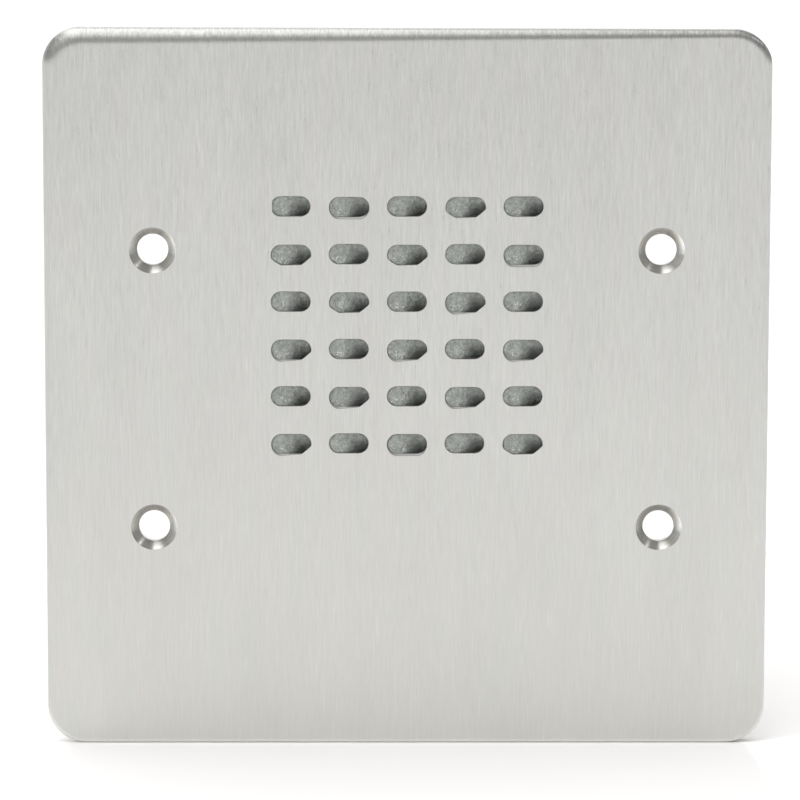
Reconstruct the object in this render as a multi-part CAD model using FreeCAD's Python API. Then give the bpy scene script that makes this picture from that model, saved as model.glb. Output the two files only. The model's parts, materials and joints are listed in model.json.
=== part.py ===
import FreeCAD, Part
import math
import os

from FreeCAD import Vector

# Teller window intercom, in millimetres.
# X is to the right and Z is up for someone facing the plate. Y runs from the plate into the wall box.
# The origin is the centre of the mounting hole pattern, on the back face of the plate.

# Faceplate
PLATE_SIDE = 119.06
PLATE_THICK = 3.0
PLATE_CORNER_R = 6.35
PLATE_EDGE_R = 1.5

# Countersunk mounting holes, on the two-gang box pattern turned on its side
MOUNT_SPACING_X = 83.34
MOUNT_SPACING_Z = 46.04
MOUNT_HOLE_R = 2.55
MOUNT_SINK_R = 3.85
MOUNT_SINK_ANGLE = 82.0

# Speech slots, struck from two settings of the punch, one for every other slot
SLOT_COLUMNS = 5
SLOT_ROWS = 6
SLOT_PITCH_X = 9.525
SLOT_PITCH_Z = 7.85
SLOT_LENGTH = 6.35
SLOT_HEIGHT = 3.175
SLOT_RIM_R = 0.15
SLOT_SHIFT_X = 0.065
SLOT_SHIFT_Z = 0.185
GRILLE_Z = 10.65

# Acoustic foam, which bulges into every slot
FOAM_THICK = 3.0
FOAM_BULGE = 2.4
FOAM_BULGE_ROUND = 1.15
FOAM_ROUND_HEIGHT_SHARE = 0.45
FOAM_ROUND_DEPTH_SHARE = 0.9
FOAM_SLOT_GAP = 0.12
FOAM_SPACER_GAP = 0.3

# Fasteners that hold the stack to the plate
STUD_R = 1.5
STUD_LENGTH = 15.0
STUD_HOLE_GAP = 0.2
THREAD_GAP = 0.05
STUD_EDGE = 4.0
SPACER_R = 3.0
WASHER_R = 3.1
WASHER_THICK = 0.8
WASHER_SPLIT = 0.5
STANDOFF_ACROSS_FLATS = 5.5
STANDOFF_LENGTH = 22.0

# Guard plate, pierced between the columns of slots so that nothing can be pushed through
GUARD_THICK = 1.0
GUARD_HOLE_R = 1.3
GUARD_MICROPHONE_HOLE_R = 1.5
MODULE_CORNER_R = 3.0

# Speaker
SPEAKER_R = 25.0
SPEAKER_FIT = 0.2
GASKET_THICK = 2.5
GASKET_WIDTH = 2.4
GASKET_SURROUND_GAP = 0.2
FRAME_SHEET = 0.8
FRAME_DEPTH = 9.0
FRAME_BASE_R = 13.7
FRAME_WINDOWS = 6
FRAME_WINDOW_WIDTH = 10.0
FRAME_WINDOW_FRONT = 2.1
FRAME_WINDOW_BACK = 2.1
CONE_SHEET = 0.35
CONE_RIM_WIDTH = 1.0
CONE_NECK_DEPTH = 6.5
SURROUND_SHEET = 0.3
SURROUND_ROLL_R = 1.2
SURROUND_LIP = 1.6
SURROUND_SET_OUT = 0.2
DUST_CAP_R = 7.5
DUST_CAP_HEIGHT = 2.0
DUST_CAP_SHEET = 0.25
DUST_CAP_GLUE = 0.02
POLE_R = 6.2
COIL_AIR_GAP = 0.3
FORMER_WALL = 0.12
FORMER_LENGTH = 5.9
COIL_WIRE_DEPTH = 0.33
COIL_LENGTH = 4.0
SPIDER_SHEET = 0.3
SPIDER_LIP = 1.7
SPIDER_SET_BACK = 0.5
SPIDER_WAVES = 5
SPIDER_WAVE_HEIGHT = 0.25
FRONT_PLATE_THICK = 2.0
FRONT_PLATE_R = 14.0
MAGNET_R = 15.0
MAGNET_BORE_R = 9.0
MAGNET_THICK = 5.0
YOKE_R = 14.0
YOKE_THICK = 2.0

# Speaker terminals, on a tongue of the frame
TONGUE_WIDTH = 6.0
TONGUE_REACH = 7.4
TAG_STRIP_WIDTH = 12.0
TAG_STRIP_THICK = 1.0
TAG_STRIP_GAP = 0.45
TAG_SPACING = 8.0
TAG_WIDTH = 2.2
TAG_THICK = 0.3
TAG_OVERHANG = 2.0
TAG_INSET = 0.5
TAG_RIVET_R = 1.0
TAG_RIVET_HEAD_R = 1.6
TAG_RIVET_HEAD = 0.5
TINSEL_R = 0.25
TINSEL_START = 9.2
TINSEL_CONE_GAP = 0.25
TINSEL_SAG = 0.9

# Speaker retainer, which also holds the microphone
RETAINER_LIP = 2.0
RETAINER_LIP_OVERLAP = 2.0
MICROPHONE_R = 3.0
MICROPHONE_LENGTH = 2.7
MICROPHONE_PIN_R = 0.25
MICROPHONE_PIN_LENGTH = 1.4
MICROPHONE_PIN_SPACING = 1.9
BOOT_R = 4.5
BOOT_FIT = 0.05
BOOT_FACE = 0.8
BOOT_PORT_R = 1.5
BOOT_REAR_LIP = 1.3
MICROPHONE_WALL = 1.35
STUD_WALL = 3.65

# Circuit board and its screws
BOARD_THICK = 1.6
BOARD_SCREW_LENGTH = 6.0
BOARD_SCREW_HEAD_R = 2.8
BOARD_SCREW_HEAD = 2.1
RECESS_WIDTH = 0.7
RECESS_LENGTH = 3.0
RECESS_DEPTH = 1.1

# Terminal block with rising clamps
TERMINAL_WAYS = 5
TERMINAL_PITCH = 5.08
TERMINAL_END_WALL = 0.5
TERMINAL_HEIGHT = 12.0
TERMINAL_DEPTH = 9.0
TERMINAL_EDGE = 2.5
TERMINAL_FLOOR = 0.5
CLAMP_WIDTH = 4.2
CLAMP_LENGTH = 4.0
CLAMP_WALL = 0.4
CLAMP_SOLE = 0.8
CLAMP_OPENING = 3.4
CLAMP_NUT = 1.5
CLAMP_GAP = 0.2
CLAMP_TRAVEL = 2.0
CONTACT_WIDTH = 1.8
CONTACT_THICK = 0.8
CONTACT_LEG_WIDTH = 1.0
CONTACT_LEG_GAP = 0.4
CONTACT_TAIL = 1.2
CONTACT_HOLE_R = 0.75
TERMINAL_SCREW_R = 1.45
TERMINAL_SCREW_HEAD_R = 1.95
TERMINAL_SCREW_HEAD = 1.6
TERMINAL_SCREW_SLOT = 0.6
TERMINAL_SCREW_SLOT_DEPTH = 0.8
TERMINAL_TIP_GAP = 0.05
TERMINAL_HEAD_GAP = 0.4
TERMINAL_ACCESS_GAP = 0.2
WIRE_WINDOW_WIDTH = 3.1
WIRE_WINDOW_SILL = 1.2
WIRE_WINDOW_HEIGHT = 3.6

# Audio transformer
TRANSFORMER_FROM_LEFT = 16.0
TRANSFORMER_FROM_TOP = 19.0
CORE_WIDTH = 20.5
CORE_HEIGHT = 17.5
CORE_STACK = 6.5
CORE_LIMB = 3.0
CORE_CENTRE_LIMB = 5.6
CORE_RISE = 4.0
BOBBIN_GAP = 0.1
BOBBIN_WALL = 0.7
BOBBIN_FLANGE = 1.0
BOBBIN_HEIGHT = 14.5
WINDING_INSET = 0.5
PIN_R = 0.4
PIN_HOLE_R = 0.5
PIN_TAIL = 1.0
TRANSFORMER_PIN_SPACING = 5.0

# Round capacitors, each as (distance from the right edge of the board, from its top edge, radius, height)
ELECTROLYTICS = ((25.0, 11.0, 4.0, 11.5), (15.0, 10.0, 3.15, 11.0), (15.0, 19.0, 3.15, 11.0))
CAN_GROOVE_HEIGHT = 2.0
CAN_GROOVE_DEPTH = 0.35
CAN_ROUND = 0.5
CAN_TOP_RIM = 0.6
CAN_TOP_SINK = 0.25

# Boxed capacitors, each as (distance from the left edge of the board, from its bottom edge)
FILM_CAPS = ((13.0, 17.0), (25.0, 17.0))
FILM_WIDTH = 7.2
FILM_DEPTH = 2.5
FILM_HEIGHT = 6.5
FILM_ROUND = 0.3

# Amplifier chips in eight-leg packages, each as (x, z) from the centre of the board
CHIPS = ((6.0, 8.0), (6.0, -6.0))
CHIP_WIDTH = 9.8
CHIP_DEPTH = 6.4
CHIP_HEIGHT = 3.3
CHIP_RISE = 0.5
CHIP_NOTCH_R = 0.8
CHIP_NOTCH_DEPTH = 0.4
CHIP_LEGS_PER_SIDE = 4
CHIP_LEG_PITCH = 2.54
CHIP_LEG_WIDTH = 0.5
CHIP_SHOULDER_WIDTH = 1.3
CHIP_LEG_THICK = 0.3
CHIP_LEG_REACH = 0.6
CHIP_LEG_TAIL = 1.0
CHIP_LEG_HOLE_R = 0.45

# Resistors lying on the board, in columns from its left edge and rows from its centre
RESISTOR_COLUMNS = (13.0, 26.0)
RESISTOR_ROWS = (0.0, -5.0, -10.0)
RESISTOR_R = 1.15
RESISTOR_LENGTH = 6.3
RESISTOR_ROUND = 0.4
RESISTOR_RISE = 0.3
RESISTOR_LEAD_R = 0.3
RESISTOR_LEAD_SPACING = 10.16
RESISTOR_LEAD_HOLE_R = 0.45

# Gain trimmer
TRIMMER_FROM_RIGHT = 11.0
TRIMMER_Z = -2.0
TRIMMER_SIDE = 9.5
TRIMMER_HEIGHT = 4.8
TRIMMER_ROUND = 0.5
TRIMMER_SEAT = 2.5
ROTOR_R = 2.6
ROTOR_FIT = 0.08
ROTOR_PROUD = 0.4
ROTOR_SLOT = 0.6
ROTOR_SLOT_DEPTH = 0.8
ROTOR_POINTER_R = 0.45

# Solder on the front of the board, round every pin
SOLDER_SPREAD = 0.35
SOLDER_HEIGHT = 0.6

# Leads from the speaker and the microphone to the board
SPEAKER_LEAD_R = 0.6
SPEAKER_LEAD_SPREAD = 3.0
SPEAKER_LEAD_RISE = 1.6
MICROPHONE_LEAD_R = 1.2
MICROPHONE_LEAD_SHIFT = 3.0
LEAD_BEND_SHARE = 0.45

# Places along Y, from the front of the plate to the back of the board
PLATE_FRONT_Y = -PLATE_THICK
GUARD_Y = FOAM_THICK
GASKET_Y = GUARD_Y + GUARD_THICK
FLANGE_Y = GASKET_Y + GASKET_THICK
FLANGE_BACK_Y = FLANGE_Y + FRAME_SHEET
RETAINER_BACK_Y = FLANGE_BACK_Y + RETAINER_LIP
FRAME_BACK_Y = FLANGE_Y + FRAME_DEPTH
FRAME_FLOOR_Y = FRAME_BACK_Y - FRAME_SHEET
FRONT_PLATE_BACK_Y = FRAME_BACK_Y + FRONT_PLATE_THICK
MAGNET_BACK_Y = FRONT_PLATE_BACK_Y + MAGNET_THICK
CONE_NECK_Y = FLANGE_Y + CONE_NECK_DEPTH
WASHER_BACK_Y = RETAINER_BACK_Y + WASHER_THICK
BOARD_Y = WASHER_BACK_Y + STANDOFF_LENGTH
BOARD_BACK_Y = BOARD_Y + BOARD_THICK

# Places across the module, each worked out from the speaker at its centre
FORMER_INNER_R = POLE_R + COIL_AIR_GAP
FORMER_OUTER_R = FORMER_INNER_R + FORMER_WALL
COIL_OUTER_R = FORMER_OUTER_R + COIL_WIRE_DEPTH
FRONT_PLATE_BORE_R = COIL_OUTER_R + COIL_AIR_GAP
MICROPHONE_DISTANCE = SPEAKER_R + SPEAKER_FIT + MICROPHONE_WALL + BOOT_FIT + BOOT_R
MICROPHONE_OFFSET = MICROPHONE_DISTANCE / math.sqrt(2)
STUD_HOLE_R = STUD_R + STUD_HOLE_GAP
STUD_DISTANCE = MICROPHONE_DISTANCE + BOOT_R + BOOT_FIT + STUD_WALL + STUD_HOLE_R
STUD_OFFSET = STUD_DISTANCE / math.sqrt(2)
MODULE_HALF = STUD_OFFSET + STUD_EDGE
SURROUND_OUTER_R = SPEAKER_R - GASKET_WIDTH - GASKET_SURROUND_GAP
FRAME_MOUTH_R = SURROUND_OUTER_R - SURROUND_LIP - SURROUND_SET_OUT
CONE_RIM_R = FRAME_MOUTH_R + SURROUND_SET_OUT - 2 * SURROUND_ROLL_R

# Places on the board from its centre, each worked out from the edges that the piece stands near
TRANSFORMER_X = TRANSFORMER_FROM_LEFT - MODULE_HALF
TRANSFORMER_Z = MODULE_HALF - TRANSFORMER_FROM_TOP
TRIMMER_X = MODULE_HALF - TRIMMER_FROM_RIGHT
RESISTORS = [(from_left - MODULE_HALF, row) for from_left in RESISTOR_COLUMNS for row in RESISTOR_ROWS]

# Two coordinates closer than this are the same place
SAME_PLACE = 1e-6


def box(x0, x1, y0, y1, z0, z1):
    """A block between two corners."""
    return Part.makeBox(x1 - x0, y1 - y0, z1 - z0, Vector(x0, y0, z0))


def rod(radius, y0, y1, x=0.0, z=0.0):
    """A round bar along Y."""
    return Part.makeCylinder(radius, y1 - y0, Vector(x, y0, z), Vector(0, 1, 0))


def tube(outer, inner, y0, y1, x=0.0, z=0.0):
    """A round tube along Y."""
    return rod(outer, y0, y1, x, z).cut(rod(inner, y0, y1, x, z))


def turned(outline, x=0.0, z=0.0):
    """A body turned about an axis along Y, from a closed outline of (radius, y) points."""
    corners = [Vector(radius, y, 0) for radius, y in outline]
    return spun(Part.makePolygon(corners + corners[:1]), x, z)


def spun(wire, x=0.0, z=0.0):
    """A body turned about an axis along Y, from a closed wire with X as the radius."""
    solid = Part.Face(wire).revolve(Vector(0, 0, 0), Vector(0, 1, 0), 360)
    solid.translate(Vector(x, 0, z))
    return solid


def edges_along_y(solid):
    """The straight edges of a body that run along Y."""
    found = []
    for edge in solid.Edges:
        step = edge.Vertexes[-1].Point - edge.Vertexes[0].Point
        if abs(step.y) > SAME_PLACE > max(abs(step.x), abs(step.z)):
            found.append(edge)
    return found


def edges_at_y(solid, y):
    """The edges of a body that lie in the plane at this Y."""
    found = []
    for edge in solid.Edges:
        bounds = edge.BoundBox
        if max(abs(bounds.YMin - y), abs(bounds.YMax - y)) < SAME_PLACE:
            found.append(edge)
    return found


def rounded_slab(half_x, half_z, corner_r, y0, y1, x=0.0, z=0.0):
    """A slab across Y with rounded corners."""
    slab = box(x - half_x, x + half_x, y0, y1, z - half_z, z + half_z)
    return slab.makeFillet(corner_r, edges_along_y(slab))


def stadium(length, height, y0, y1, x=0.0, z=0.0):
    """A slab across Y with full round ends, longest along X."""
    radius = height / 2
    straight = length / 2 - radius
    middle = box(x - straight, x + straight, y0, y1, z - radius, z + radius)
    ends = [rod(radius, y0, y1, x + side * straight, z) for side in (-1, 1)]
    return middle.fuse(ends).removeSplitter()


def hexagon(across_flats, y0, y1, x, z):
    """A hexagonal bar along Y."""
    radius = across_flats / math.sqrt(3)
    corners = []
    for step in range(7):
        angle = math.radians(60 * step)
        corners.append(Vector(x + radius * math.cos(angle), y0, z + radius * math.sin(angle)))
    return Part.Face(Part.makePolygon(corners)).extrude(Vector(0, y1 - y0, 0))


def bent_wire(name, points, radius):
    """A round wire along straight runs joined by tangent arcs, each as large as its two runs allow."""
    corners = [Vector(*point) for point in points]
    edges = []
    radii = []
    start = corners[0]
    for before, corner, after in zip(corners, corners[1:], corners[2:]):
        back = (before - corner).normalize()
        ahead = (after - corner).normalize()
        half_turn = (math.pi - back.getAngle(ahead)) / 2
        setback = LEAD_BEND_SHARE * min((before - corner).Length, (after - corner).Length)
        bend_r = setback / math.tan(half_turn)
        radii.append(bend_r)
        arc_start = corner + back * setback
        arc_end = corner + ahead * setback
        inward = (back + ahead).normalize()
        arc_middle = corner + inward * (bend_r / math.cos(half_turn) - bend_r)
        edges.append(Part.LineSegment(start, arc_start).toShape())
        edges.append(Part.Arc(arc_start, arc_middle, arc_end).toShape())
        start = arc_end
    edges.append(Part.LineSegment(start, corners[-1]).toShape())
    path = Part.Wire(edges)
    circle = Part.Circle(corners[0], corners[1] - corners[0], radius)
    wire = path.makePipeShell([Part.Wire(circle.toShape())], True, False)
    print(name, "smallest bend", round(min(radii), 2), "length", round(path.Length, 2),
          "volume ratio", round(wire.Volume / (path.Length * math.pi * radius ** 2), 4))
    return wire


def corner_places(offset):
    """The four corners (x, z) at this offset from the centre of the grille."""
    return [(side_x * offset, GRILLE_Z + side_z * offset) for side_x in (-1, 1) for side_z in (-1, 1)]


def on_board(place):
    """A place given from the centre of the board, as (x, z) of the whole."""
    return place[0], GRILLE_Z + place[1]


def from_edges(place, side_x, side_z):
    """A place given as its distances from two edges of the board, as (x, z) of the whole."""
    return side_x * (MODULE_HALF - place[0]), GRILLE_Z + side_z * (MODULE_HALF - place[1])


def save(node, *solids):
    """Write one node, made of one or more separate solids."""
    shape = solids[0] if len(solids) == 1 else Part.makeCompound(list(solids))
    if not shape.isValid():
        raise ValueError(node + " is not a valid shape")
    shape.exportStep(os.path.join("parts", node + ".step"))


def slot_places():
    """The centres (x, z) of the speech slots, row by row from the top."""
    places = []
    for row in range(SLOT_ROWS):
        for column in range(SLOT_COLUMNS):
            second = (row + column) % 2
            x = (column - (SLOT_COLUMNS - 1) / 2) * SLOT_PITCH_X + second * SLOT_SHIFT_X
            z = ((SLOT_ROWS - 1) / 2 - row) * SLOT_PITCH_Z - second * SLOT_SHIFT_Z
            places.append((x, GRILLE_Z + z))
    return places


def faceplate():
    """The steel plate: softened front edge, speech slots and countersunk holes."""
    half = PLATE_SIDE / 2
    plate = rounded_slab(half, half, PLATE_CORNER_R, PLATE_FRONT_Y, 0)
    plate = plate.makeFillet(PLATE_EDGE_R, edges_at_y(plate, PLATE_FRONT_Y))
    slots = [stadium(SLOT_LENGTH, SLOT_HEIGHT, PLATE_FRONT_Y, 0, x, z) for x, z in slot_places()]
    plate = plate.cut(slots)
    longest = max(SLOT_LENGTH, math.pi * SLOT_HEIGHT)
    reach = SLOT_COLUMNS * SLOT_PITCH_X / 2
    rims = [edge for edge in edges_at_y(plate, PLATE_FRONT_Y)
            if edge.Length < longest and abs(edge.CenterOfMass.x) < reach]
    plate = plate.makeFillet(SLOT_RIM_R, rims)
    sink_depth = (MOUNT_SINK_R - MOUNT_HOLE_R) / math.tan(math.radians(MOUNT_SINK_ANGLE / 2))
    holes = []
    for side_x in (-1, 1):
        for side_z in (-1, 1):
            x = side_x * MOUNT_SPACING_X / 2
            z = side_z * MOUNT_SPACING_Z / 2
            sink = Part.makeCone(MOUNT_SINK_R, MOUNT_HOLE_R, sink_depth,
                                 Vector(x, PLATE_FRONT_Y, z), Vector(0, 1, 0))
            holes.append(rod(MOUNT_HOLE_R, PLATE_FRONT_Y, 0, x, z).fuse(sink))
    return plate.cut(holes)


def acoustic_foam():
    """The foam pad, with a rounded bulge in every slot and holes for the spacers."""
    pad = box(-MODULE_HALF, MODULE_HALF, 0, FOAM_THICK, GRILLE_Z - MODULE_HALF, GRILLE_Z + MODULE_HALF)
    holes = [rod(SPACER_R + FOAM_SPACER_GAP, 0, FOAM_THICK, x, z) for x, z in corner_places(STUD_OFFSET)]
    bulge_length = SLOT_LENGTH - 2 * FOAM_SLOT_GAP
    bulge_height = SLOT_HEIGHT - 2 * FOAM_SLOT_GAP
    bulge_round = min(FOAM_BULGE_ROUND, FOAM_ROUND_HEIGHT_SHARE * bulge_height,
                      FOAM_ROUND_DEPTH_SHARE * FOAM_BULGE)
    bulges = []
    for x, z in slot_places():
        bulge = stadium(bulge_length, bulge_height, -FOAM_BULGE, FOAM_THICK / 2, x, z)
        bulges.append(bulge.makeFillet(bulge_round, edges_at_y(bulge, -FOAM_BULGE)))
    return pad.cut(holes).fuse(bulges)


def guard_plate():
    """The pierced plate behind the foam. Its holes stand between the columns of slots."""
    plate = rounded_slab(MODULE_HALF, MODULE_HALF, MODULE_CORNER_R, GUARD_Y, GASKET_Y, 0, GRILLE_Z)
    holes = [rod(STUD_HOLE_R, GUARD_Y, GASKET_Y, x, z) for x, z in corner_places(STUD_OFFSET)]
    for column in range(SLOT_COLUMNS - 1):
        x = (column - (SLOT_COLUMNS - 2) / 2) * SLOT_PITCH_X
        for step in range(2 * SLOT_ROWS - 1):
            z = GRILLE_Z + (step - (SLOT_ROWS - 1)) * SLOT_PITCH_Z / 2
            holes.append(rod(GUARD_HOLE_R, GUARD_Y, GASKET_Y, x, z))
    mic_z = GRILLE_Z - MICROPHONE_OFFSET
    holes.append(rod(GUARD_MICROPHONE_HOLE_R, GUARD_Y, GASKET_Y, -MICROPHONE_OFFSET, mic_z))
    return plate.cut(holes)


def speaker_retainer():
    """The moulding that clamps the speaker to the guard plate and holds the microphone boot."""
    block = rounded_slab(MODULE_HALF, MODULE_HALF, MODULE_CORNER_R, GASKET_Y, RETAINER_BACK_Y, 0, GRILLE_Z)
    mic_z = GRILLE_Z - MICROPHONE_OFFSET
    boot_back = GASKET_Y + BOOT_FACE + MICROPHONE_LENGTH + BOOT_FACE
    holes = [rod(STUD_HOLE_R, GASKET_Y, RETAINER_BACK_Y, x, z) for x, z in corner_places(STUD_OFFSET)]
    holes.append(rod(SPEAKER_R + SPEAKER_FIT, GASKET_Y, FLANGE_BACK_Y, 0, GRILLE_Z))
    holes.append(rod(SPEAKER_R - RETAINER_LIP_OVERLAP, FLANGE_BACK_Y, RETAINER_BACK_Y, 0, GRILLE_Z))
    holes.append(rod(BOOT_R + BOOT_FIT, GASKET_Y, boot_back, -MICROPHONE_OFFSET, mic_z))
    holes.append(rod(BOOT_R - BOOT_REAR_LIP, boot_back, RETAINER_BACK_Y, -MICROPHONE_OFFSET, mic_z))
    return block.cut(holes)


def wall_radius(y):
    """The inner radius of the frame's sloping wall at this Y."""
    share = (y - FLANGE_Y) / (FRAME_FLOOR_Y - FLANGE_Y)
    return FRAME_MOUTH_R + (FRAME_BASE_R - FRAME_MOUTH_R) * share


def wall_outer_radius(y):
    """The outer radius of the frame's sloping wall at this Y."""
    return wall_radius(y - FRAME_SHEET) + FRAME_SHEET


def speaker_frame():
    """The pressed steel basket, with windows in its wall and a tongue for the tag strip."""
    step = FRAME_SHEET
    outline = [
        (SPEAKER_R, FLANGE_Y),
        (SPEAKER_R, FLANGE_BACK_Y),
        (FRAME_MOUTH_R + step, FLANGE_BACK_Y),
        (FRAME_BASE_R + step, FRAME_BACK_Y),
        (FRONT_PLATE_BORE_R, FRAME_BACK_Y),
        (FRONT_PLATE_BORE_R, FRAME_FLOOR_Y),
        (FRAME_BASE_R, FRAME_FLOOR_Y),
        (FRAME_MOUTH_R, FLANGE_Y),
    ]
    basket = turned(outline)
    half = FRAME_WINDOW_WIDTH / 2
    windows = []
    for number in range(FRAME_WINDOWS):
        window = box(-half, half, FLANGE_Y + FRAME_WINDOW_FRONT, FRAME_BACK_Y - FRAME_WINDOW_BACK,
                     FRONT_PLATE_BORE_R, SPEAKER_R)
        window.rotate(Vector(0, 0, 0), Vector(0, 1, 0), number * 360 / FRAME_WINDOWS)
        windows.append(window)
    tongue = box(-TONGUE_WIDTH / 2, TONGUE_WIDTH / 2, FRAME_FLOOR_Y, FRAME_BACK_Y,
                 FRAME_BASE_R - step, FRAME_BASE_R + step + TONGUE_REACH)
    rivet_hole = rod(TAG_RIVET_R, FRAME_FLOOR_Y, FRAME_BACK_Y, 0, rivet_height())
    frame = basket.cut(windows).fuse(tongue).cut(rivet_hole)
    frame.translate(Vector(0, 0, GRILLE_Z))
    return frame


def tag_strip_start():
    """How far out the tag strip starts, clear of the frame's wall where the strip's front face meets it."""
    return wall_outer_radius(FRAME_FLOOR_Y - TAG_STRIP_THICK) + TAG_STRIP_GAP


def tag_strip_end():
    """How far out the tag strip ends, level with the tongue."""
    return FRAME_BASE_R + FRAME_SHEET + TONGUE_REACH


def rivet_height():
    """How far out the rivet of the tag strip stands."""
    return (tag_strip_start() + tag_strip_end()) / 2


def tag_strip():
    """The insulating strip on the tongue, with holes for its rivet."""
    strip = box(-TAG_STRIP_WIDTH / 2, TAG_STRIP_WIDTH / 2, FRAME_FLOOR_Y - TAG_STRIP_THICK, FRAME_FLOOR_Y,
                GRILLE_Z + tag_strip_start(), GRILLE_Z + tag_strip_end())
    return strip.cut(rod(TAG_RIVET_R, FRAME_FLOOR_Y - TAG_STRIP_THICK, FRAME_FLOOR_Y,
                         0, GRILLE_Z + rivet_height()))


def tag_rivet():
    """The rivet through the tag strip and the tongue, with a head at each end."""
    front = FRAME_FLOOR_Y - TAG_STRIP_THICK
    outline = [
        (0, front - TAG_RIVET_HEAD),
        (TAG_RIVET_HEAD_R, front - TAG_RIVET_HEAD),
        (TAG_RIVET_HEAD_R, front),
        (TAG_RIVET_R, front),
        (TAG_RIVET_R, FRAME_BACK_Y),
        (TAG_RIVET_HEAD_R, FRAME_BACK_Y),
        (TAG_RIVET_HEAD_R, FRAME_BACK_Y + TAG_RIVET_HEAD),
        (0, FRAME_BACK_Y + TAG_RIVET_HEAD),
    ]
    return turned(outline, 0, GRILLE_Z + rivet_height())


def solder_tags():
    """Two tinned tags on the front of the strip, which reach past its outer edge."""
    back = FRAME_FLOOR_Y - TAG_STRIP_THICK
    tags = []
    for side in (-1, 1):
        x = side * TAG_SPACING / 2
        tags.append(box(x - TAG_WIDTH / 2, x + TAG_WIDTH / 2, back - TAG_THICK, back,
                        GRILLE_Z + tag_strip_start() + TAG_INSET, GRILLE_Z + tag_strip_end() + TAG_OVERHANG))
    return tags


def tinsel_leads():
    """Two flexible leads from the back of the cone, out through a window, to the tags."""
    tag_front = FRAME_FLOOR_Y - TAG_STRIP_THICK - TAG_THICK
    leads = []
    for side in (-1, 1):
        x = side * TAG_SPACING / 2
        start_r = math.hypot(x, TINSEL_START)
        start_y = cone_back(start_r) + TINSEL_CONE_GAP
        low_y = tag_front - TINSEL_SAG
        end_z = GRILLE_Z + tag_strip_start() + TAG_INSET + TAG_WIDTH / 2
        route = [
            (x, start_y, GRILLE_Z + TINSEL_START),
            (x, low_y, GRILLE_Z + TINSEL_START + TINSEL_SAG),
            (x, low_y, end_z),
            (x, tag_front, end_z),
        ]
        leads.append(bent_wire("tinsel lead", route, TINSEL_R))
    return leads


def cone_back(radius):
    """The Y of the cone's back face at this radius."""
    rim_in = CONE_RIM_R - CONE_RIM_WIDTH
    share = (rim_in - radius) / (rim_in - FORMER_OUTER_R)
    return FLANGE_Y + CONE_SHEET + (CONE_NECK_Y - FLANGE_Y) * share


def cone_front(radius):
    """The Y of the cone's front face at this radius."""
    return cone_back(radius) - CONE_SHEET


def speaker_cone():
    """The paper cone, from its glued rim to its neck on the coil former."""
    rim_in = CONE_RIM_R - CONE_RIM_WIDTH
    outline = [
        (FORMER_OUTER_R, CONE_NECK_Y),
        (rim_in, FLANGE_Y),
        (CONE_RIM_R, FLANGE_Y),
        (CONE_RIM_R, FLANGE_Y + CONE_SHEET),
        (rim_in, FLANGE_Y + CONE_SHEET),
        (FORMER_OUTER_R, CONE_NECK_Y + CONE_SHEET),
    ]
    return turned(outline, 0, GRILLE_Z)


def half_roll(middle_r, y, radius):
    """A half circle that bulges towards the front, for the surround's outline."""
    ends = [Vector(middle_r - radius, y, 0), Vector(middle_r + radius, y, 0)]
    return Part.Arc(ends[0], Vector(middle_r, y - radius, 0), ends[1]).toShape()


def speaker_surround():
    """The half-roll surround, glued to the cone's rim inside and to the frame's flange outside."""
    middle_r = CONE_RIM_R + SURROUND_ROLL_R
    inner_roll_r = SURROUND_ROLL_R - SURROUND_SHEET
    front = FLANGE_Y - SURROUND_SHEET
    inner_r = CONE_RIM_R - CONE_RIM_WIDTH
    outer_arc = half_roll(middle_r, front, SURROUND_ROLL_R)
    inner_arc = half_roll(middle_r, front, inner_roll_r)
    inner_lip = Part.makePolygon([
        Vector(middle_r - SURROUND_ROLL_R, front, 0),
        Vector(inner_r, front, 0),
        Vector(inner_r, FLANGE_Y, 0),
        Vector(middle_r - inner_roll_r, FLANGE_Y, 0),
        Vector(middle_r - inner_roll_r, front, 0),
    ])
    outer_lip = Part.makePolygon([
        Vector(middle_r + inner_roll_r, front, 0),
        Vector(middle_r + inner_roll_r, FLANGE_Y, 0),
        Vector(SURROUND_OUTER_R, FLANGE_Y, 0),
        Vector(SURROUND_OUTER_R, front, 0),
        Vector(middle_r + SURROUND_ROLL_R, front, 0),
    ])
    return spun(Part.Wire([outer_arc] + inner_lip.Edges + [inner_arc] + outer_lip.Edges), 0, GRILLE_Z)


def dust_cap():
    """The domed cap over the neck of the cone."""
    base_y = cone_front(DUST_CAP_R) - DUST_CAP_GLUE
    inner_r = DUST_CAP_R - DUST_CAP_SHEET
    top_y = base_y - DUST_CAP_HEIGHT
    outer_mid_y, outer_mid_r = dome_middle(DUST_CAP_R, DUST_CAP_HEIGHT, base_y)
    inner_mid_y, inner_mid_r = dome_middle(inner_r, DUST_CAP_HEIGHT - DUST_CAP_SHEET, base_y)
    outer = Part.Arc(Vector(DUST_CAP_R, base_y, 0), Vector(outer_mid_r, outer_mid_y, 0), Vector(0, top_y, 0))
    inner = Part.Arc(Vector(0, top_y + DUST_CAP_SHEET, 0), Vector(inner_mid_r, inner_mid_y, 0),
                     Vector(inner_r, base_y, 0))
    crown = Part.LineSegment(Vector(0, top_y, 0), Vector(0, top_y + DUST_CAP_SHEET, 0))
    foot = Part.LineSegment(Vector(inner_r, base_y, 0), Vector(DUST_CAP_R, base_y, 0))
    return spun(Part.Wire([part.toShape() for part in (outer, crown, inner, foot)]), 0, GRILLE_Z)


def dome_middle(base_r, height, base_y):
    """The middle point (y, radius) of the arc of a shallow dome."""
    dome_r = (base_r ** 2 + height ** 2) / (2 * height)
    half_angle = math.asin(base_r / dome_r) / 2
    middle_r = dome_r * math.sin(half_angle)
    return base_y - height + dome_r * (1 - math.cos(half_angle)), middle_r


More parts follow.
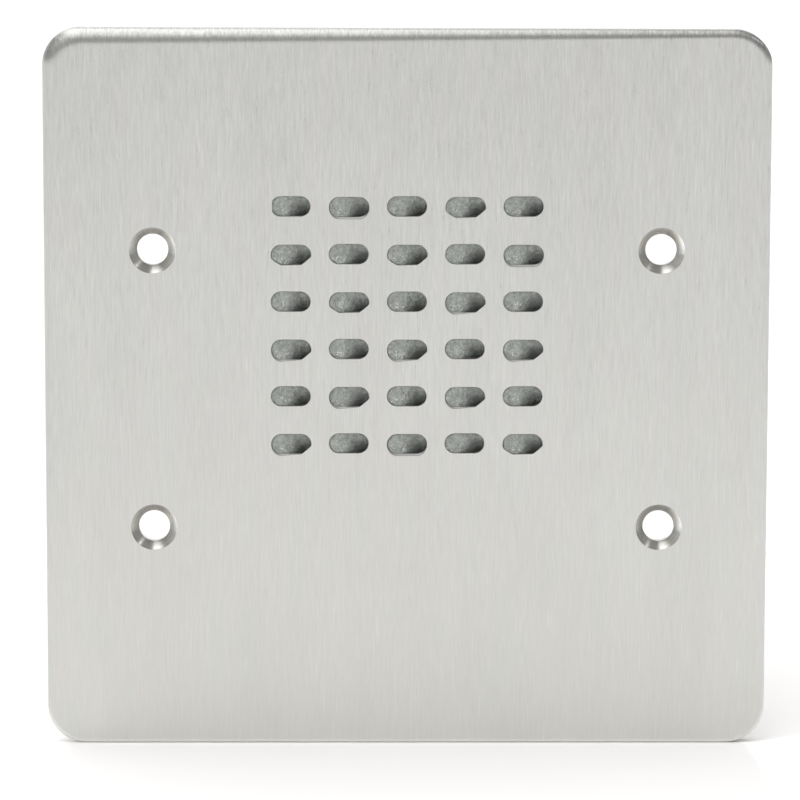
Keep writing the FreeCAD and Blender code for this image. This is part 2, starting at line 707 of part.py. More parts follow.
def voice_coil_former():
    """The thin tube that carries the voice coil into the magnet's gap."""
    return tube(FORMER_OUTER_R, FORMER_INNER_R, CONE_NECK_Y, CONE_NECK_Y + FORMER_LENGTH, 0, GRILLE_Z)


def voice_coil():
    """The winding on the former, centred in the front plate."""
    middle = FRAME_BACK_Y + FRONT_PLATE_THICK / 2
    return tube(COIL_OUTER_R, FORMER_OUTER_R, middle - COIL_LENGTH / 2, middle + COIL_LENGTH / 2, 0, GRILLE_Z)


def spider():
    """The corrugated disc that centres the voice coil, glued to the floor of the frame."""
    lip_in = FRAME_BASE_R - SPIDER_LIP
    start_y = CONE_NECK_Y + CONE_SHEET + SPIDER_SET_BACK - SPIDER_SHEET
    end_y = FRAME_FLOOR_Y - SPIDER_SHEET
    front = []
    for step in range(2 * SPIDER_WAVES + 1):
        share = step / (2 * SPIDER_WAVES)
        wave = SPIDER_WAVE_HEIGHT / 2 * (1 - (-1) ** step) * (1 if 0 < share < 1 else 0)
        radius = FORMER_OUTER_R + (lip_in - FORMER_OUTER_R) * share
        front.append((radius, start_y + (end_y - start_y) * share - wave))
    front.append((FRAME_BASE_R - SPIDER_SHEET, end_y))
    back = [(radius, y + SPIDER_SHEET) for radius, y in reversed(front)]
    return turned(front + back, 0, GRILLE_Z)


def magnet_front_plate():
    """The steel ring between the frame and the magnet, with the coil's gap in its bore."""
    return tube(FRONT_PLATE_R, FRONT_PLATE_BORE_R, FRAME_BACK_Y, FRONT_PLATE_BACK_Y, 0, GRILLE_Z)


def magnet():
    """The ring magnet."""
    return tube(MAGNET_R, MAGNET_BORE_R, FRONT_PLATE_BACK_Y, MAGNET_BACK_Y, 0, GRILLE_Z)


def magnet_yoke():
    """The back plate of the magnet, in one piece with its pole."""
    plate = rod(YOKE_R, MAGNET_BACK_Y, MAGNET_BACK_Y + YOKE_THICK, 0, GRILLE_Z)
    return plate.fuse(rod(POLE_R, FRAME_BACK_Y, MAGNET_BACK_Y, 0, GRILLE_Z)).removeSplitter()


def microphone_boot():
    """The rubber boot round the microphone, with a sound port in its face."""
    face = GASKET_Y + BOOT_FACE
    back = face + MICROPHONE_LENGTH + BOOT_FACE
    outline = [
        (BOOT_PORT_R, GASKET_Y),
        (BOOT_R, GASKET_Y),
        (BOOT_R, back),
        (MICROPHONE_R, back),
        (MICROPHONE_R, face),
        (BOOT_PORT_R, face),
    ]
    return turned(outline, -MICROPHONE_OFFSET, GRILLE_Z - MICROPHONE_OFFSET)


def microphone_back():
    """The Y of the back face of the microphone's can."""
    return GASKET_Y + BOOT_FACE + MICROPHONE_LENGTH


def microphone_capsule():
    """The microphone's can, with two pins at its back."""
    x = -MICROPHONE_OFFSET
    z = GRILLE_Z - MICROPHONE_OFFSET
    can = rod(MICROPHONE_R, GASKET_Y + BOOT_FACE, microphone_back(), x, z)
    pins = []
    pin_end = microphone_back() + MICROPHONE_PIN_LENGTH
    for side in (-1, 1):
        pin_x = x + side * MICROPHONE_PIN_SPACING / 2
        pins.append(rod(MICROPHONE_PIN_R, microphone_back(), pin_end, pin_x, z))
    return can.fuse(pins)


def stack_fasteners():
    """Save the studs, spacers, lock washers, standoffs and board screws of the four corners."""
    studs = []
    spacers = []
    washers = []
    standoffs = []
    screws = []
    for x, z in corner_places(STUD_OFFSET):
        studs.append(rod(STUD_R, 0, STUD_LENGTH, x, z))
        spacers.append(tube(SPACER_R, STUD_HOLE_R, 0, FOAM_THICK, x, z))
        washer = tube(WASHER_R, STUD_R + THREAD_GAP, RETAINER_BACK_Y, WASHER_BACK_Y, x, z)
        half_split = WASHER_SPLIT / 2
        split = box(x - half_split, x + half_split, RETAINER_BACK_Y, WASHER_BACK_Y, z, z + WASHER_R)
        washers.append(washer.cut(split))
        bar = hexagon(STANDOFF_ACROSS_FLATS, WASHER_BACK_Y, BOARD_Y, x, z)
        standoffs.append(bar.cut(rod(STUD_R + THREAD_GAP, WASHER_BACK_Y, BOARD_Y, x, z)))
        screws.append(board_screw(x, z))
    save("weld_studs", *studs)
    save("stud_spacers", *spacers)
    save("lock_washers", *washers)
    save("standoffs", *standoffs)
    save("board_screws", *screws)


def board_screw(x, z):
    """A pan head screw with a cross recess."""
    head_top = BOARD_BACK_Y + BOARD_SCREW_HEAD
    head = rod(BOARD_SCREW_HEAD_R, BOARD_BACK_Y, head_top, x, z)
    head = head.makeFillet(BOARD_SCREW_HEAD / 2, edges_at_y(head, head_top))
    shank = rod(STUD_R, BOARD_BACK_Y - BOARD_SCREW_LENGTH, BOARD_BACK_Y, x, z)
    long_half = RECESS_LENGTH / 2
    short_half = RECESS_WIDTH / 2
    recess = [
        box(x - long_half, x + long_half, head_top - RECESS_DEPTH, head_top, z - short_half, z + short_half),
        box(x - short_half, x + short_half, head_top - RECESS_DEPTH, head_top, z - long_half, z + long_half),
    ]
    return head.fuse(shank).cut(recess)


def terminal_places():
    """The X of each way of the terminal block."""
    return [(way - (TERMINAL_WAYS - 1) / 2) * TERMINAL_PITCH for way in range(TERMINAL_WAYS)]


def terminal_z():
    """The Z of the middle of the terminal block, set in from the lower edge of the board."""
    return GRILLE_Z - MODULE_HALF + TERMINAL_EDGE + TERMINAL_DEPTH / 2


def clamp_bottom_y():
    """The Y of the clamp's sole with the clamp open."""
    return BOARD_BACK_Y + TERMINAL_FLOOR + CLAMP_GAP


def clamp_top_y():
    """The Y of the clamp's nut face with the clamp open."""
    return clamp_bottom_y() + CLAMP_SOLE + CLAMP_OPENING + CLAMP_NUT


def well_top_y():
    """The Y of the top of the well that the clamp rises in."""
    return clamp_top_y() + CLAMP_TRAVEL + CLAMP_GAP


def contact_y():
    """The Y of the face of the contact bar that the screw bears on, just inside the open clamp."""
    return clamp_top_y() - CLAMP_NUT - CLAMP_GAP


def contact_leg_z():
    """The Z, from the middle of the block, where the leg of a contact starts."""
    return CLAMP_LENGTH / 2 + CONTACT_LEG_GAP


def terminal_housing():
    """The block's housing: a well, a screw hole and a wire window for every way."""
    middle = terminal_z()
    half_width = TERMINAL_WAYS * TERMINAL_PITCH / 2 + TERMINAL_END_WALL
    half_depth = TERMINAL_DEPTH / 2
    top = BOARD_BACK_Y + TERMINAL_HEIGHT
    floor = BOARD_BACK_Y + TERMINAL_FLOOR
    block = box(-half_width, half_width, BOARD_BACK_Y, top, middle - half_depth, middle + half_depth)
    well_half = CLAMP_WIDTH / 2 + CLAMP_GAP
    leg_half = CONTACT_LEG_WIDTH / 2 + CLAMP_GAP / 2
    leg_z = middle + contact_leg_z()
    sill = BOARD_BACK_Y + WIRE_WINDOW_SILL
    cuts = []
    for x in terminal_places():
        cuts.append(box(x - well_half, x + well_half, floor, well_top_y(),
                        middle - CLAMP_LENGTH / 2 - CLAMP_GAP, leg_z + CONTACT_THICK + CLAMP_GAP))
        cuts.append(rod(TERMINAL_SCREW_HEAD_R + TERMINAL_ACCESS_GAP, well_top_y(), top, x, middle))
        cuts.append(box(x - WIRE_WINDOW_WIDTH / 2, x + WIRE_WINDOW_WIDTH / 2, sill, sill + WIRE_WINDOW_HEIGHT,
                        middle - half_depth, middle))
        cuts.append(box(x - leg_half, x + leg_half, BOARD_BACK_Y, floor,
                        leg_z - CLAMP_GAP / 2, leg_z + CONTACT_THICK + CLAMP_GAP / 2))
    return block.cut(cuts)


def terminal_contacts():
    """The contact bars that the screws bear on, each with a leg through the board."""
    middle = terminal_z()
    leg_z = middle + contact_leg_z()
    contacts = []
    for x in terminal_places():
        bar = box(x - CONTACT_WIDTH / 2, x + CONTACT_WIDTH / 2, contact_y() - CONTACT_THICK, contact_y(),
                  middle - CLAMP_LENGTH / 2 + CLAMP_GAP, leg_z + CONTACT_THICK)
        leg = box(x - CONTACT_LEG_WIDTH / 2, x + CONTACT_LEG_WIDTH / 2, BOARD_Y - CONTACT_TAIL, contact_y(),
                  leg_z, leg_z + CONTACT_THICK)
        contacts.append(bar.fuse(leg).removeSplitter())
    return contacts


def terminal_screw(x):
    """A slotted terminal screw, which turns in place and bears on its contact bar."""
    z = terminal_z()
    head_y = clamp_top_y() + CLAMP_TRAVEL + TERMINAL_HEAD_GAP
    head_top = head_y + TERMINAL_SCREW_HEAD
    head_r = TERMINAL_SCREW_HEAD_R
    half_slot = TERMINAL_SCREW_SLOT / 2
    shank = rod(TERMINAL_SCREW_R, contact_y() + TERMINAL_TIP_GAP, head_y, x, z)
    head = rod(head_r, head_y, head_top, x, z)
    slot = box(x - head_r, x + head_r, head_top - TERMINAL_SCREW_SLOT_DEPTH, head_top,
               z - half_slot, z + half_slot)
    return head.fuse(shank).cut(slot)


def terminal_clamp(x):
    """A rising clamp: a cage round the contact bar, with a threaded nut for the screw."""
    z = terminal_z()
    bottom = clamp_bottom_y()
    top = clamp_top_y()
    half_width = CLAMP_WIDTH / 2
    half_length = CLAMP_LENGTH / 2
    half_opening = half_width - CLAMP_WALL
    cage = box(x - half_width, x + half_width, bottom, top, z - half_length, z + half_length)
    opening = box(x - half_opening, x + half_opening, bottom + CLAMP_SOLE, top - CLAMP_NUT,
                  z - half_length, z + half_length)
    thread = rod(TERMINAL_SCREW_R + THREAD_GAP, top - CLAMP_NUT, top, x, z)
    return cage.cut([opening, thread])


def transformer_parts():
    """Save the transformer's core, bobbin and winding."""
    x = TRANSFORMER_X
    z = GRILLE_Z + TRANSFORMER_Z
    core_y = BOARD_BACK_Y + CORE_RISE
    core_top = core_y + CORE_STACK
    half_width = CORE_WIDTH / 2
    half_height = CORE_HEIGHT / 2
    half_limb = CORE_CENTRE_LIMB / 2
    window_half = half_height - CORE_LIMB
    core = box(x - half_width, x + half_width, core_y, core_top, z - half_height, z + half_height)
    for side in (-1, 1):
        window_x = sorted((x + side * half_limb, x + side * (half_width - CORE_LIMB)))
        core = core.cut(box(window_x[0], window_x[1], core_y, core_top, z - window_half, z + window_half))
    save("transformer_core", core)

    hole_half = half_limb + BOBBIN_GAP
    sleeve_half = hole_half + BOBBIN_WALL
    flange_half = half_width - CORE_LIMB - BOBBIN_GAP
    flange_z = window_half - BOBBIN_GAP
    sleeve_y0 = core_y - BOBBIN_WALL
    sleeve_y1 = core_top + BOBBIN_GAP + BOBBIN_WALL
    bobbin_top = BOARD_BACK_Y + BOBBIN_HEIGHT
    bobbin = box(x - sleeve_half, x + sleeve_half, sleeve_y0, sleeve_y1, z - flange_z, z + flange_z)
    for side in (-1, 1):
        span = sorted((z + side * flange_z, z + side * (flange_z - BOBBIN_FLANGE)))
        flange = box(x - flange_half, x + flange_half, BOARD_BACK_Y, bobbin_top, span[0], span[1])
        bobbin = bobbin.fuse(flange)
    bobbin = bobbin.cut(box(x - hole_half, x + hole_half, core_y, core_top + BOBBIN_GAP,
                            z - flange_z, z + flange_z))
    save("transformer_bobbin", bobbin.removeSplitter())

    coil_half = flange_half - WINDING_INSET
    coil_z = flange_z - BOBBIN_FLANGE
    coil = box(x - coil_half, x + coil_half, BOARD_BACK_Y + WINDING_INSET, bobbin_top - WINDING_INSET,
               z - coil_z, z + coil_z)
    coil = coil.cut(box(x - sleeve_half, x + sleeve_half, sleeve_y0, sleeve_y1, z - coil_z, z + coil_z))
    save("transformer_winding", coil)


def transformer_pin_places():
    """The places of the transformer's pins, under the two flanges of its bobbin."""
    flange_z = CORE_HEIGHT / 2 - CORE_LIMB - BOBBIN_GAP - BOBBIN_FLANGE / 2
    places = []
    for side_z in (-1, 1):
        for step in (-1, 0, 1):
            places.append((TRANSFORMER_X + step * TRANSFORMER_PIN_SPACING,
                           GRILLE_Z + TRANSFORMER_Z + side_z * flange_z))
    return places


def electrolytic(place):
    """A round capacitor standing on the board, with a groove near its foot and a sunk top."""
    x, z = from_edges(place, 1, 1)
    radius, height = place[2:]
    foot = BOARD_BACK_Y
    top = foot + height
    outline = [
        (0, foot),
        (radius, foot),
        (radius, foot + CAN_GROOVE_HEIGHT - CAN_GROOVE_DEPTH),
        (radius - CAN_GROOVE_DEPTH, foot + CAN_GROOVE_HEIGHT),
        (radius, foot + CAN_GROOVE_HEIGHT + CAN_GROOVE_DEPTH),
        (radius, top - CAN_ROUND),
        (radius - CAN_ROUND, top),
        (radius - CAN_ROUND - CAN_TOP_RIM, top),
        (radius - CAN_ROUND - CAN_TOP_RIM, top - CAN_TOP_SINK),
        (0, top - CAN_TOP_SINK),
    ]
    return turned(outline, x, z)


def film_capacitor(place):
    """A boxed capacitor standing on the board."""
    x, z = from_edges(place, -1, -1)
    body = box(x - FILM_WIDTH / 2, x + FILM_WIDTH / 2, BOARD_BACK_Y, BOARD_BACK_Y + FILM_HEIGHT,
               z - FILM_DEPTH / 2, z + FILM_DEPTH / 2)
    return body.makeFillet(FILM_ROUND, edges_along_y(body))


def chip_body(place):
    """The moulded body of a chip, with a notch that marks its first end."""
    x, z = on_board(place)
    bottom = BOARD_BACK_Y + CHIP_RISE
    top = bottom + CHIP_HEIGHT
    body = box(x - CHIP_WIDTH / 2, x + CHIP_WIDTH / 2, bottom, top, z - CHIP_DEPTH / 2, z + CHIP_DEPTH / 2)
    return body.cut(rod(CHIP_NOTCH_R, top - CHIP_NOTCH_DEPTH, top, x - CHIP_WIDTH / 2, z))


def chip_leg_places(place):
    """The places of a chip's legs, as (x, z, side)."""
    x, z = on_board(place)
    row = CHIP_DEPTH / 2 + CHIP_LEG_REACH - CHIP_LEG_THICK / 2
    places = []
    for side in (-1, 1):
        for step in range(CHIP_LEGS_PER_SIDE):
            leg_x = x + (step - (CHIP_LEGS_PER_SIDE - 1) / 2) * CHIP_LEG_PITCH
            places.append((leg_x, z + side * row, side))
    return places


def chip_leg(x, z, side):
    """A bent leg, which stands on the board on a wide shoulder and passes through it as a narrow tail."""
    top = BOARD_BACK_Y + CHIP_RISE + CHIP_HEIGHT / 2
    half_wide = CHIP_SHOULDER_WIDTH / 2
    half_width = CHIP_LEG_WIDTH / 2
    half_thick = CHIP_LEG_THICK / 2
    inner = z - side * (CHIP_LEG_REACH - half_thick)
    span = sorted((inner, z + side * half_thick))
    arm = box(x - half_wide, x + half_wide, top - CHIP_LEG_THICK, top, span[0], span[1])
    shoulder = box(x - half_wide, x + half_wide, BOARD_BACK_Y, top, z - half_thick, z + half_thick)
    tail_y = BOARD_Y - CHIP_LEG_TAIL
    tail = box(x - half_width, x + half_width, tail_y, BOARD_BACK_Y, z - half_thick, z + half_thick)
    return arm.fuse([shoulder, tail]).removeSplitter()


def resistor_axis_y():
    """The Y of the middle of a resistor."""
    return BOARD_BACK_Y + RESISTOR_RISE + RESISTOR_R


def resistor_body(place):
    """The round body of a resistor, lying along X."""
    x, z = on_board(place)
    end = Vector(x - RESISTOR_LENGTH / 2, resistor_axis_y(), z)
    body = Part.makeCylinder(RESISTOR_R, RESISTOR_LENGTH, end, Vector(1, 0, 0))
    return body.makeFillet(RESISTOR_ROUND, [edge for edge in body.Edges if len(edge.Vertexes) == 1])


def resistor_leads(place):
    """The two leads of a resistor, bent down through the board."""
    x, z = on_board(place)
    leads = []
    for side in (-1, 1):
        outer = x + side * RESISTOR_LEAD_SPACING / 2
        route = [
            (x + side * RESISTOR_LENGTH / 2, resistor_axis_y(), z),
            (outer, resistor_axis_y(), z),
            (outer, BOARD_Y - PIN_TAIL, z),
        ]
        leads.append(bent_wire("resistor lead", route, RESISTOR_LEAD_R))
    return leads


def resistor_lead_places():
    """The places where the leads of the resistors pass through the board."""
    places = []
    for place in RESISTORS:
        x, z = on_board(place)
        places.append((x - RESISTOR_LEAD_SPACING / 2, z))
        places.append((x + RESISTOR_LEAD_SPACING / 2, z))
    return places


def pin_holes():
    """The drilled holes for pins and legs, as (x, z, radius)."""
    leg_z = terminal_z() + contact_leg_z() + CONTACT_THICK / 2
    holes = [(x, leg_z, CONTACT_HOLE_R) for x in terminal_places()]
    holes += [(x, z, PIN_HOLE_R) for x, z in transformer_pin_places()]
    holes += [(x, z, RESISTOR_LEAD_HOLE_R) for x, z in resistor_lead_places()]
    for place in CHIPS:
        holes += [(x, z, CHIP_LEG_HOLE_R) for x, z, side in chip_leg_places(place)]
    return holes


def circuit_board():
    """The board, drilled for its screws and for every pin and leg."""
    board = rounded_slab(MODULE_HALF, MODULE_HALF, MODULE_CORNER_R, BOARD_Y, BOARD_BACK_Y, 0, GRILLE_Z)
    drilled = [rod(STUD_HOLE_R, BOARD_Y, BOARD_BACK_Y, x, z) for x, z in corner_places(STUD_OFFSET)]
    drilled += [rod(radius, BOARD_Y, BOARD_BACK_Y, x, z) for x, z, radius in pin_holes()]
    return board.cut(drilled)


def solder_joints(pins):
    """A cone of solder on the front of the board round each pin."""
    joints = []
    for x, z, radius in pin_holes():
        foot_r = radius + SOLDER_SPREAD
        joint = Part.makeCone(foot_r, radius, SOLDER_HEIGHT, Vector(x, BOARD_Y, z), Vector(0, -1, 0))
        joints.append(joint.cut(pins))
    return joints


def trimmer_body():
    """The square body of the gain trimmer, with a round seat for its rotor."""
    x = TRIMMER_X
    z = GRILLE_Z + TRIMMER_Z
    half = TRIMMER_SIDE / 2
    top = BOARD_BACK_Y + TRIMMER_HEIGHT
    body = rounded_slab(half, half, TRIMMER_ROUND, BOARD_BACK_Y, top, x, z)
    return body.cut(rod(ROTOR_R + ROTOR_FIT, BOARD_BACK_Y + TRIMMER_SEAT, top, x, z))


def trimmer_rotor():
    """The rotor of the gain trimmer, with a screwdriver slot and a pointer notch."""
    x = TRIMMER_X
    z = GRILLE_Z + TRIMMER_Z
    top = BOARD_BACK_Y + TRIMMER_HEIGHT + ROTOR_PROUD
    rotor = rod(ROTOR_R, BOARD_BACK_Y + TRIMMER_SEAT + ROTOR_FIT, top, x, z)
    slot = box(x - ROTOR_SLOT / 2, x + ROTOR_SLOT / 2, top - ROTOR_SLOT_DEPTH, top, z - ROTOR_R, z + ROTOR_R)
    pointer = rod(ROTOR_POINTER_R, top - ROTOR_SLOT_DEPTH, top, x, z + ROTOR_R)
    return rotor.cut([slot, pointer])


def speaker_lead(name, side):
    """A speaker lead, from the back of its tag to the front of the board."""
    x = side * TAG_SPACING / 2
    tag_y = FRAME_FLOOR_Y - TAG_STRIP_THICK
    tag_z = GRILLE_Z + tag_strip_end() + TAG_OVERHANG / 2
    span = BOARD_Y - tag_y
    route = [
        (x, tag_y, tag_z),
        (x, tag_y + span / 4, tag_z),
        (x + side * SPEAKER_LEAD_SPREAD / 2, tag_y + span / 2, tag_z + SPEAKER_LEAD_RISE),
        (x + side * SPEAKER_LEAD_SPREAD, BOARD_Y - span / 4, tag_z),
        (x + side * SPEAKER_LEAD_SPREAD, BOARD_Y, tag_z),
    ]
    return bent_wire(name, route, SPEAKER_LEAD_R)


def microphone_lead():
    """The screened lead from the pins of the microphone to the front of the board."""
    x = -MICROPHONE_OFFSET
    z = GRILLE_Z - MICROPHONE_OFFSET
    start = microphone_back() + MICROPHONE_PIN_LENGTH
    span = BOARD_Y - start
    route = [
        (x, start, z),
        (x, start + span / 3, z),
        (x + MICROPHONE_LEAD_SHIFT, BOARD_Y - span / 3, z + MICROPHONE_LEAD_SHIFT),
        (x + MICROPHONE_LEAD_SHIFT, BOARD_Y, z + MICROPHONE_LEAD_SHIFT),
    ]
    return bent_wire("microphone lead", route, MICROPHONE_LEAD_R)


def speaker_parts():
    """Save the speaker, its terminals and what holds it."""
    save("speaker_gasket", tube(SPEAKER_R, SPEAKER_R - GASKET_WIDTH, GASKET_Y, FLANGE_Y, 0, GRILLE_Z))
    save("speaker_retainer", speaker_retainer())
    save("speaker_frame", speaker_frame())
    save("speaker_surround", speaker_surround())
    save("speaker_cone", speaker_cone())
    save("dust_cap", dust_cap())
    save("voice_coil_former", voice_coil_former())
    save("voice_coil", voice_coil())
    save("spider", spider())
    save("magnet_front_plate", magnet_front_plate())
    save("magnet", magnet())
    save("magnet_yoke", magnet_yoke())
    save("tag_strip", tag_strip())
    save("tag_rivet", tag_rivet())
    save("solder_tags", *solder_tags())
    save("tinsel_leads", *tinsel_leads())


def board_parts():
    """Save the circuit board and what stands on it."""
    contacts = terminal_contacts()
    coil_pins = [rod(PIN_R, BOARD_Y - PIN_TAIL, BOARD_BACK_Y, x, z) for x, z in transformer_pin_places()]
    legs = [chip_leg(*leg) for place in CHIPS for leg in chip_leg_places(place)]
    leads = [lead for place in RESISTORS for lead in resistor_leads(place)]
    save("circuit_board", circuit_board())
    save("solder_joints", *solder_joints(contacts + coil_pins + legs + leads))
    save("terminal_housing", terminal_housing())
    save("terminal_contacts", *contacts)
    for number, x in enumerate(terminal_places(), start=1):
        save("terminal_screw_" + str(number), terminal_screw(x))
        save("terminal_clamp_" + str(number), terminal_clamp(x))
    transformer_parts()
    save("transformer_pins", *coil_pins)
    save("electrolytic_capacitors", *[electrolytic(place) for place in ELECTROLYTICS])
    save("film_capacitors", *[film_capacitor(place) for place in FILM_CAPS])
    save("chip_bodies", *[chip_body(place) for place in CHIPS])
    save("chip_legs", *legs)
    save("resistor_bodies", *[resistor_body(place) for place in RESISTORS])
    save("resistor_leads", *leads)
    save("trimmer_body", trimmer_body())
    save("trimmer_rotor", trimmer_rotor())


def main():
    """Build every node."""
    os.makedirs("parts", exist_ok=True)
    save("faceplate", faceplate())
    save("acoustic_foam", acoustic_foam())
    save("guard_plate", guard_plate())
    speaker_parts()
    save("microphone_boot", microphone_boot())
    save("microphone_capsule", microphone_capsule())
    stack_fasteners()
    board_parts()
    save("speaker_lead_red", speaker_lead("red speaker lead", 1))
    save("speaker_lead_black", speaker_lead("black speaker lead", -1))
    save("microphone_lead", microphone_lead())


main()
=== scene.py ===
"""Looks of a teller window intercom over its fixed frame, with its studio, camera and floor.

Sizes in the classes are in millimetres; Blender's own lengths are in metres. X is to the right, Z is up
and Y runs into the wall. The back of the plate is at Y = 0, and its front is at Y = -3 mm.
"""

import json
import logging
import math
from contextlib import contextmanager
from dataclasses import dataclass, field
from enum import Enum
from typing import Any, Callable, Iterator, Optional, Sequence

import bmesh
import bpy
from mathutils import Matrix, Vector

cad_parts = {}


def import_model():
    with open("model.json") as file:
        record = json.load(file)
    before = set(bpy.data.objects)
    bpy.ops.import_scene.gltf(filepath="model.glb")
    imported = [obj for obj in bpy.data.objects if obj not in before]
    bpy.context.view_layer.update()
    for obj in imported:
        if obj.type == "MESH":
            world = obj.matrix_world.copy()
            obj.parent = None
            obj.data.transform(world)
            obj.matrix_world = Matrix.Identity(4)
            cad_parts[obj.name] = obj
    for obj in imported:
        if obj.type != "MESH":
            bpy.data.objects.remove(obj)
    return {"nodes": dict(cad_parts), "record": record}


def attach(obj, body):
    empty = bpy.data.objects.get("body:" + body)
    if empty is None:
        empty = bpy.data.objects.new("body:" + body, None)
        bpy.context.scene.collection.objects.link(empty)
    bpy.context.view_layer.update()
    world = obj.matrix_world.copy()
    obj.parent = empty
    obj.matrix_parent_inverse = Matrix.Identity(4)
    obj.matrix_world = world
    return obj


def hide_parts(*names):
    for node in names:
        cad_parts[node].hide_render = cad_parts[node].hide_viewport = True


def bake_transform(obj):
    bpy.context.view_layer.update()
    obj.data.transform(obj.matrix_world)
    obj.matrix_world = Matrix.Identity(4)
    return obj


MM: float = 0.001
HAIR: float = 1e-6
CHASSIS: str = "chassis"
GRILLE_Z: float = 10.65
HOLE_X: float = 41.67
HOLE_Z: float = 23.02

Point = tuple[float, float, float]
Color = tuple[float, float, float]
Pair = tuple[float, float]
Outline = list[Pair]
Piece = bpy.types.Object
Socket = bpy.types.NodeSocket
Material = bpy.types.Material

log = logging.getLogger("intercom")
frame: dict[str, Any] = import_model()


class Kind(Enum):
    """What is picked in edit mode: the mesh layer and the name of the select mode."""

    EDGE = ("edges", "EDGE")
    FACE = ("faces", "FACE")


class Lip(Enum):
    """How the lower lip of a slot was struck."""

    PLAIN = "plain"
    BOTH = "cut at both lower corners"
    RIGHT = "cut at the lower right corner"
    ROUND = "drawn down in a curve"
    RAGGED = "left end squared off"


class Grain(Enum):
    """How a metal was worked: repeats per metre, detail, roughness and the relief's depth in millimetres."""

    ROLLED = ((220, 5000, 3500), 3, 0.6, 0.004)
    TURNED = ((300, 6500, 300), 2, 0.6, 0.006)
    CAST = ((3200, 3200, 3200), 4, 0.7, 0.02)
    PLATED = ((1800, 1800, 1800), 3, 0.6, 0.004)


def only(piece: Piece) -> None:
    """Select one piece alone and make it active."""
    bpy.ops.object.select_all(action="DESELECT")
    piece.select_set(True)
    bpy.context.view_layer.objects.active = piece


@contextmanager
def shaping(piece: Piece) -> Iterator[None]:
    """Hold a piece in edit mode, with everything selected.

    Args:
        piece: The piece to shape.
    """
    only(piece)
    bpy.ops.object.mode_set(mode="EDIT")
    bpy.ops.mesh.select_all(action="SELECT")
    yield
    bpy.ops.object.mode_set(mode="OBJECT")


def pick(piece: Piece, kind: Kind, test: Callable[[Any], bool]) -> None:
    """Select, in edit mode, what passes a test and nothing else.

    Args:
        piece: The piece in edit mode.
        kind: Whether edges or faces are tested.
        test: Says yes to an element that is wanted.
    """
    layer, mode = kind.value
    bpy.ops.mesh.select_mode(type=mode)
    bpy.ops.mesh.select_all(action="DESELECT")
    mesh = bmesh.from_edit_mesh(piece.data)
    mesh.normal_update()
    for element in getattr(mesh, layer):
        if test(element):
            element.select_set(True)
    mesh.select_flush_mode()
    bmesh.update_edit_mesh(piece.data)


def lies_at(element: Any, y: float) -> bool:
    """Whether every corner of an edge or face lies at one Y, in millimetres."""
    return all(abs(vertex.co.y - y * MM) < HAIR for vertex in element.verts)


def push(distance: float) -> None:
    """Extrude the selection along Y by a distance in millimetres, then turn every face outwards."""
    bpy.ops.mesh.extrude_region_move(TRANSFORM_OT_translate={"value": (0, distance * MM, 0)})
    bpy.ops.mesh.select_all(action="SELECT")
    bpy.ops.mesh.normals_make_consistent(inside=False)


def added(name: str, shape: str, **settings: Any) -> Piece:
    """Add one of Blender's own shapes.

    Args:
        name: The piece's name.
        shape: The shape, as in the name of its operator.
        **settings: The operator's values.

    Returns:
        The piece, with its place in its mesh.
    """
    bpy.ops.object.select_all(action="DESELECT")
    getattr(bpy.ops.mesh, f"primitive_{shape}_add")(**settings)
    piece = bpy.context.view_layer.objects.active
    piece.name = piece.data.name = name
    bpy.ops.object.transform_apply(location=True, rotation=True, scale=True)
    return piece


def block(name: str, low: Point, high: Point) -> Piece:
    """Add a block between two corners.

    Args:
        name: The piece's name.
        low: The lowest corner, in millimetres.
        high: The highest corner, in millimetres.

    Returns:
        The block.
    """
    piece = added(name, "cube", size=1)
    for vertex in piece.data.vertices:
        vertex.co = [(b if side > 0 else a) * MM for a, b, side in zip(low, high, vertex.co)]
    return piece


def prism(name: str, outline: Outline, y0: float, y1: float) -> Piece:
    """Add a prism along Y from a ring that is moved onto an outline and extruded.

    Args:
        name: The piece's name.
        outline: Points (x, z) of the outline, anticlockwise seen from the front.
        y0: Where the prism starts.
        y1: Where it ends.

    Returns:
        The closed prism.
    """
    piece = added(name, "circle", vertices=len(outline), radius=MM, fill_type="NGON")
    for vertex, (x, z) in zip(piece.data.vertices, outline):
        vertex.co = (x * MM, y0 * MM, z * MM)
    with shaping(piece):
        push(y1 - y0)
    return piece


def lathe(name: str, profile: Outline, x: float, z: float, sides: int) -> Piece:
    """Spin a profile about an axis along Y.

    Args:
        name: The piece's name.
        profile: Points (radius, y) from one pole to the other.
        x: The axis' X.
        z: The axis' Z.
        sides: How many steps the turn has.

    Returns:
        The turned piece, closed at its poles.
    """
    piece = added(name, "circle", vertices=len(profile), radius=MM, fill_type="NOTHING")
    with shaping(piece):
        mesh = bmesh.from_edit_mesh(piece.data)
        bmesh.ops.delete(mesh, geom=list(mesh.edges), context="EDGES_FACES")
        mesh.verts.ensure_lookup_table()
        for vertex, (radius, y) in zip(mesh.verts, profile):
            vertex.co = ((x + radius) * MM, y * MM, z * MM)
        for before, after in zip(mesh.verts[:], mesh.verts[1:]):
            mesh.edges.new((before, after))
        bmesh.update_edit_mesh(piece.data)
        bpy.ops.mesh.select_all(action="SELECT")
        bpy.ops.mesh.spin(steps=sides, angle=math.tau, center=(x * MM, 0, z * MM), axis=(0, 1, 0))
        bpy.ops.mesh.select_all(action="SELECT")
        bpy.ops.mesh.remove_doubles(threshold=0.5 * HAIR)
        bpy.ops.mesh.normals_make_consistent(inside=False)
    return piece


def use_modifier(piece: Piece, kind: str, **settings: Any) -> None:
    """Add a modifier to a piece and apply it at once.

    Args:
        piece: The piece to change.
        kind: The modifier's type.
        **settings: The modifier's own values.
    """
    only(piece)
    modifier = piece.modifiers.new(kind.title(), kind)
    for key, value in settings.items():
        setattr(modifier, key, value)
    bpy.ops.object.modifier_apply(modifier=modifier.name)


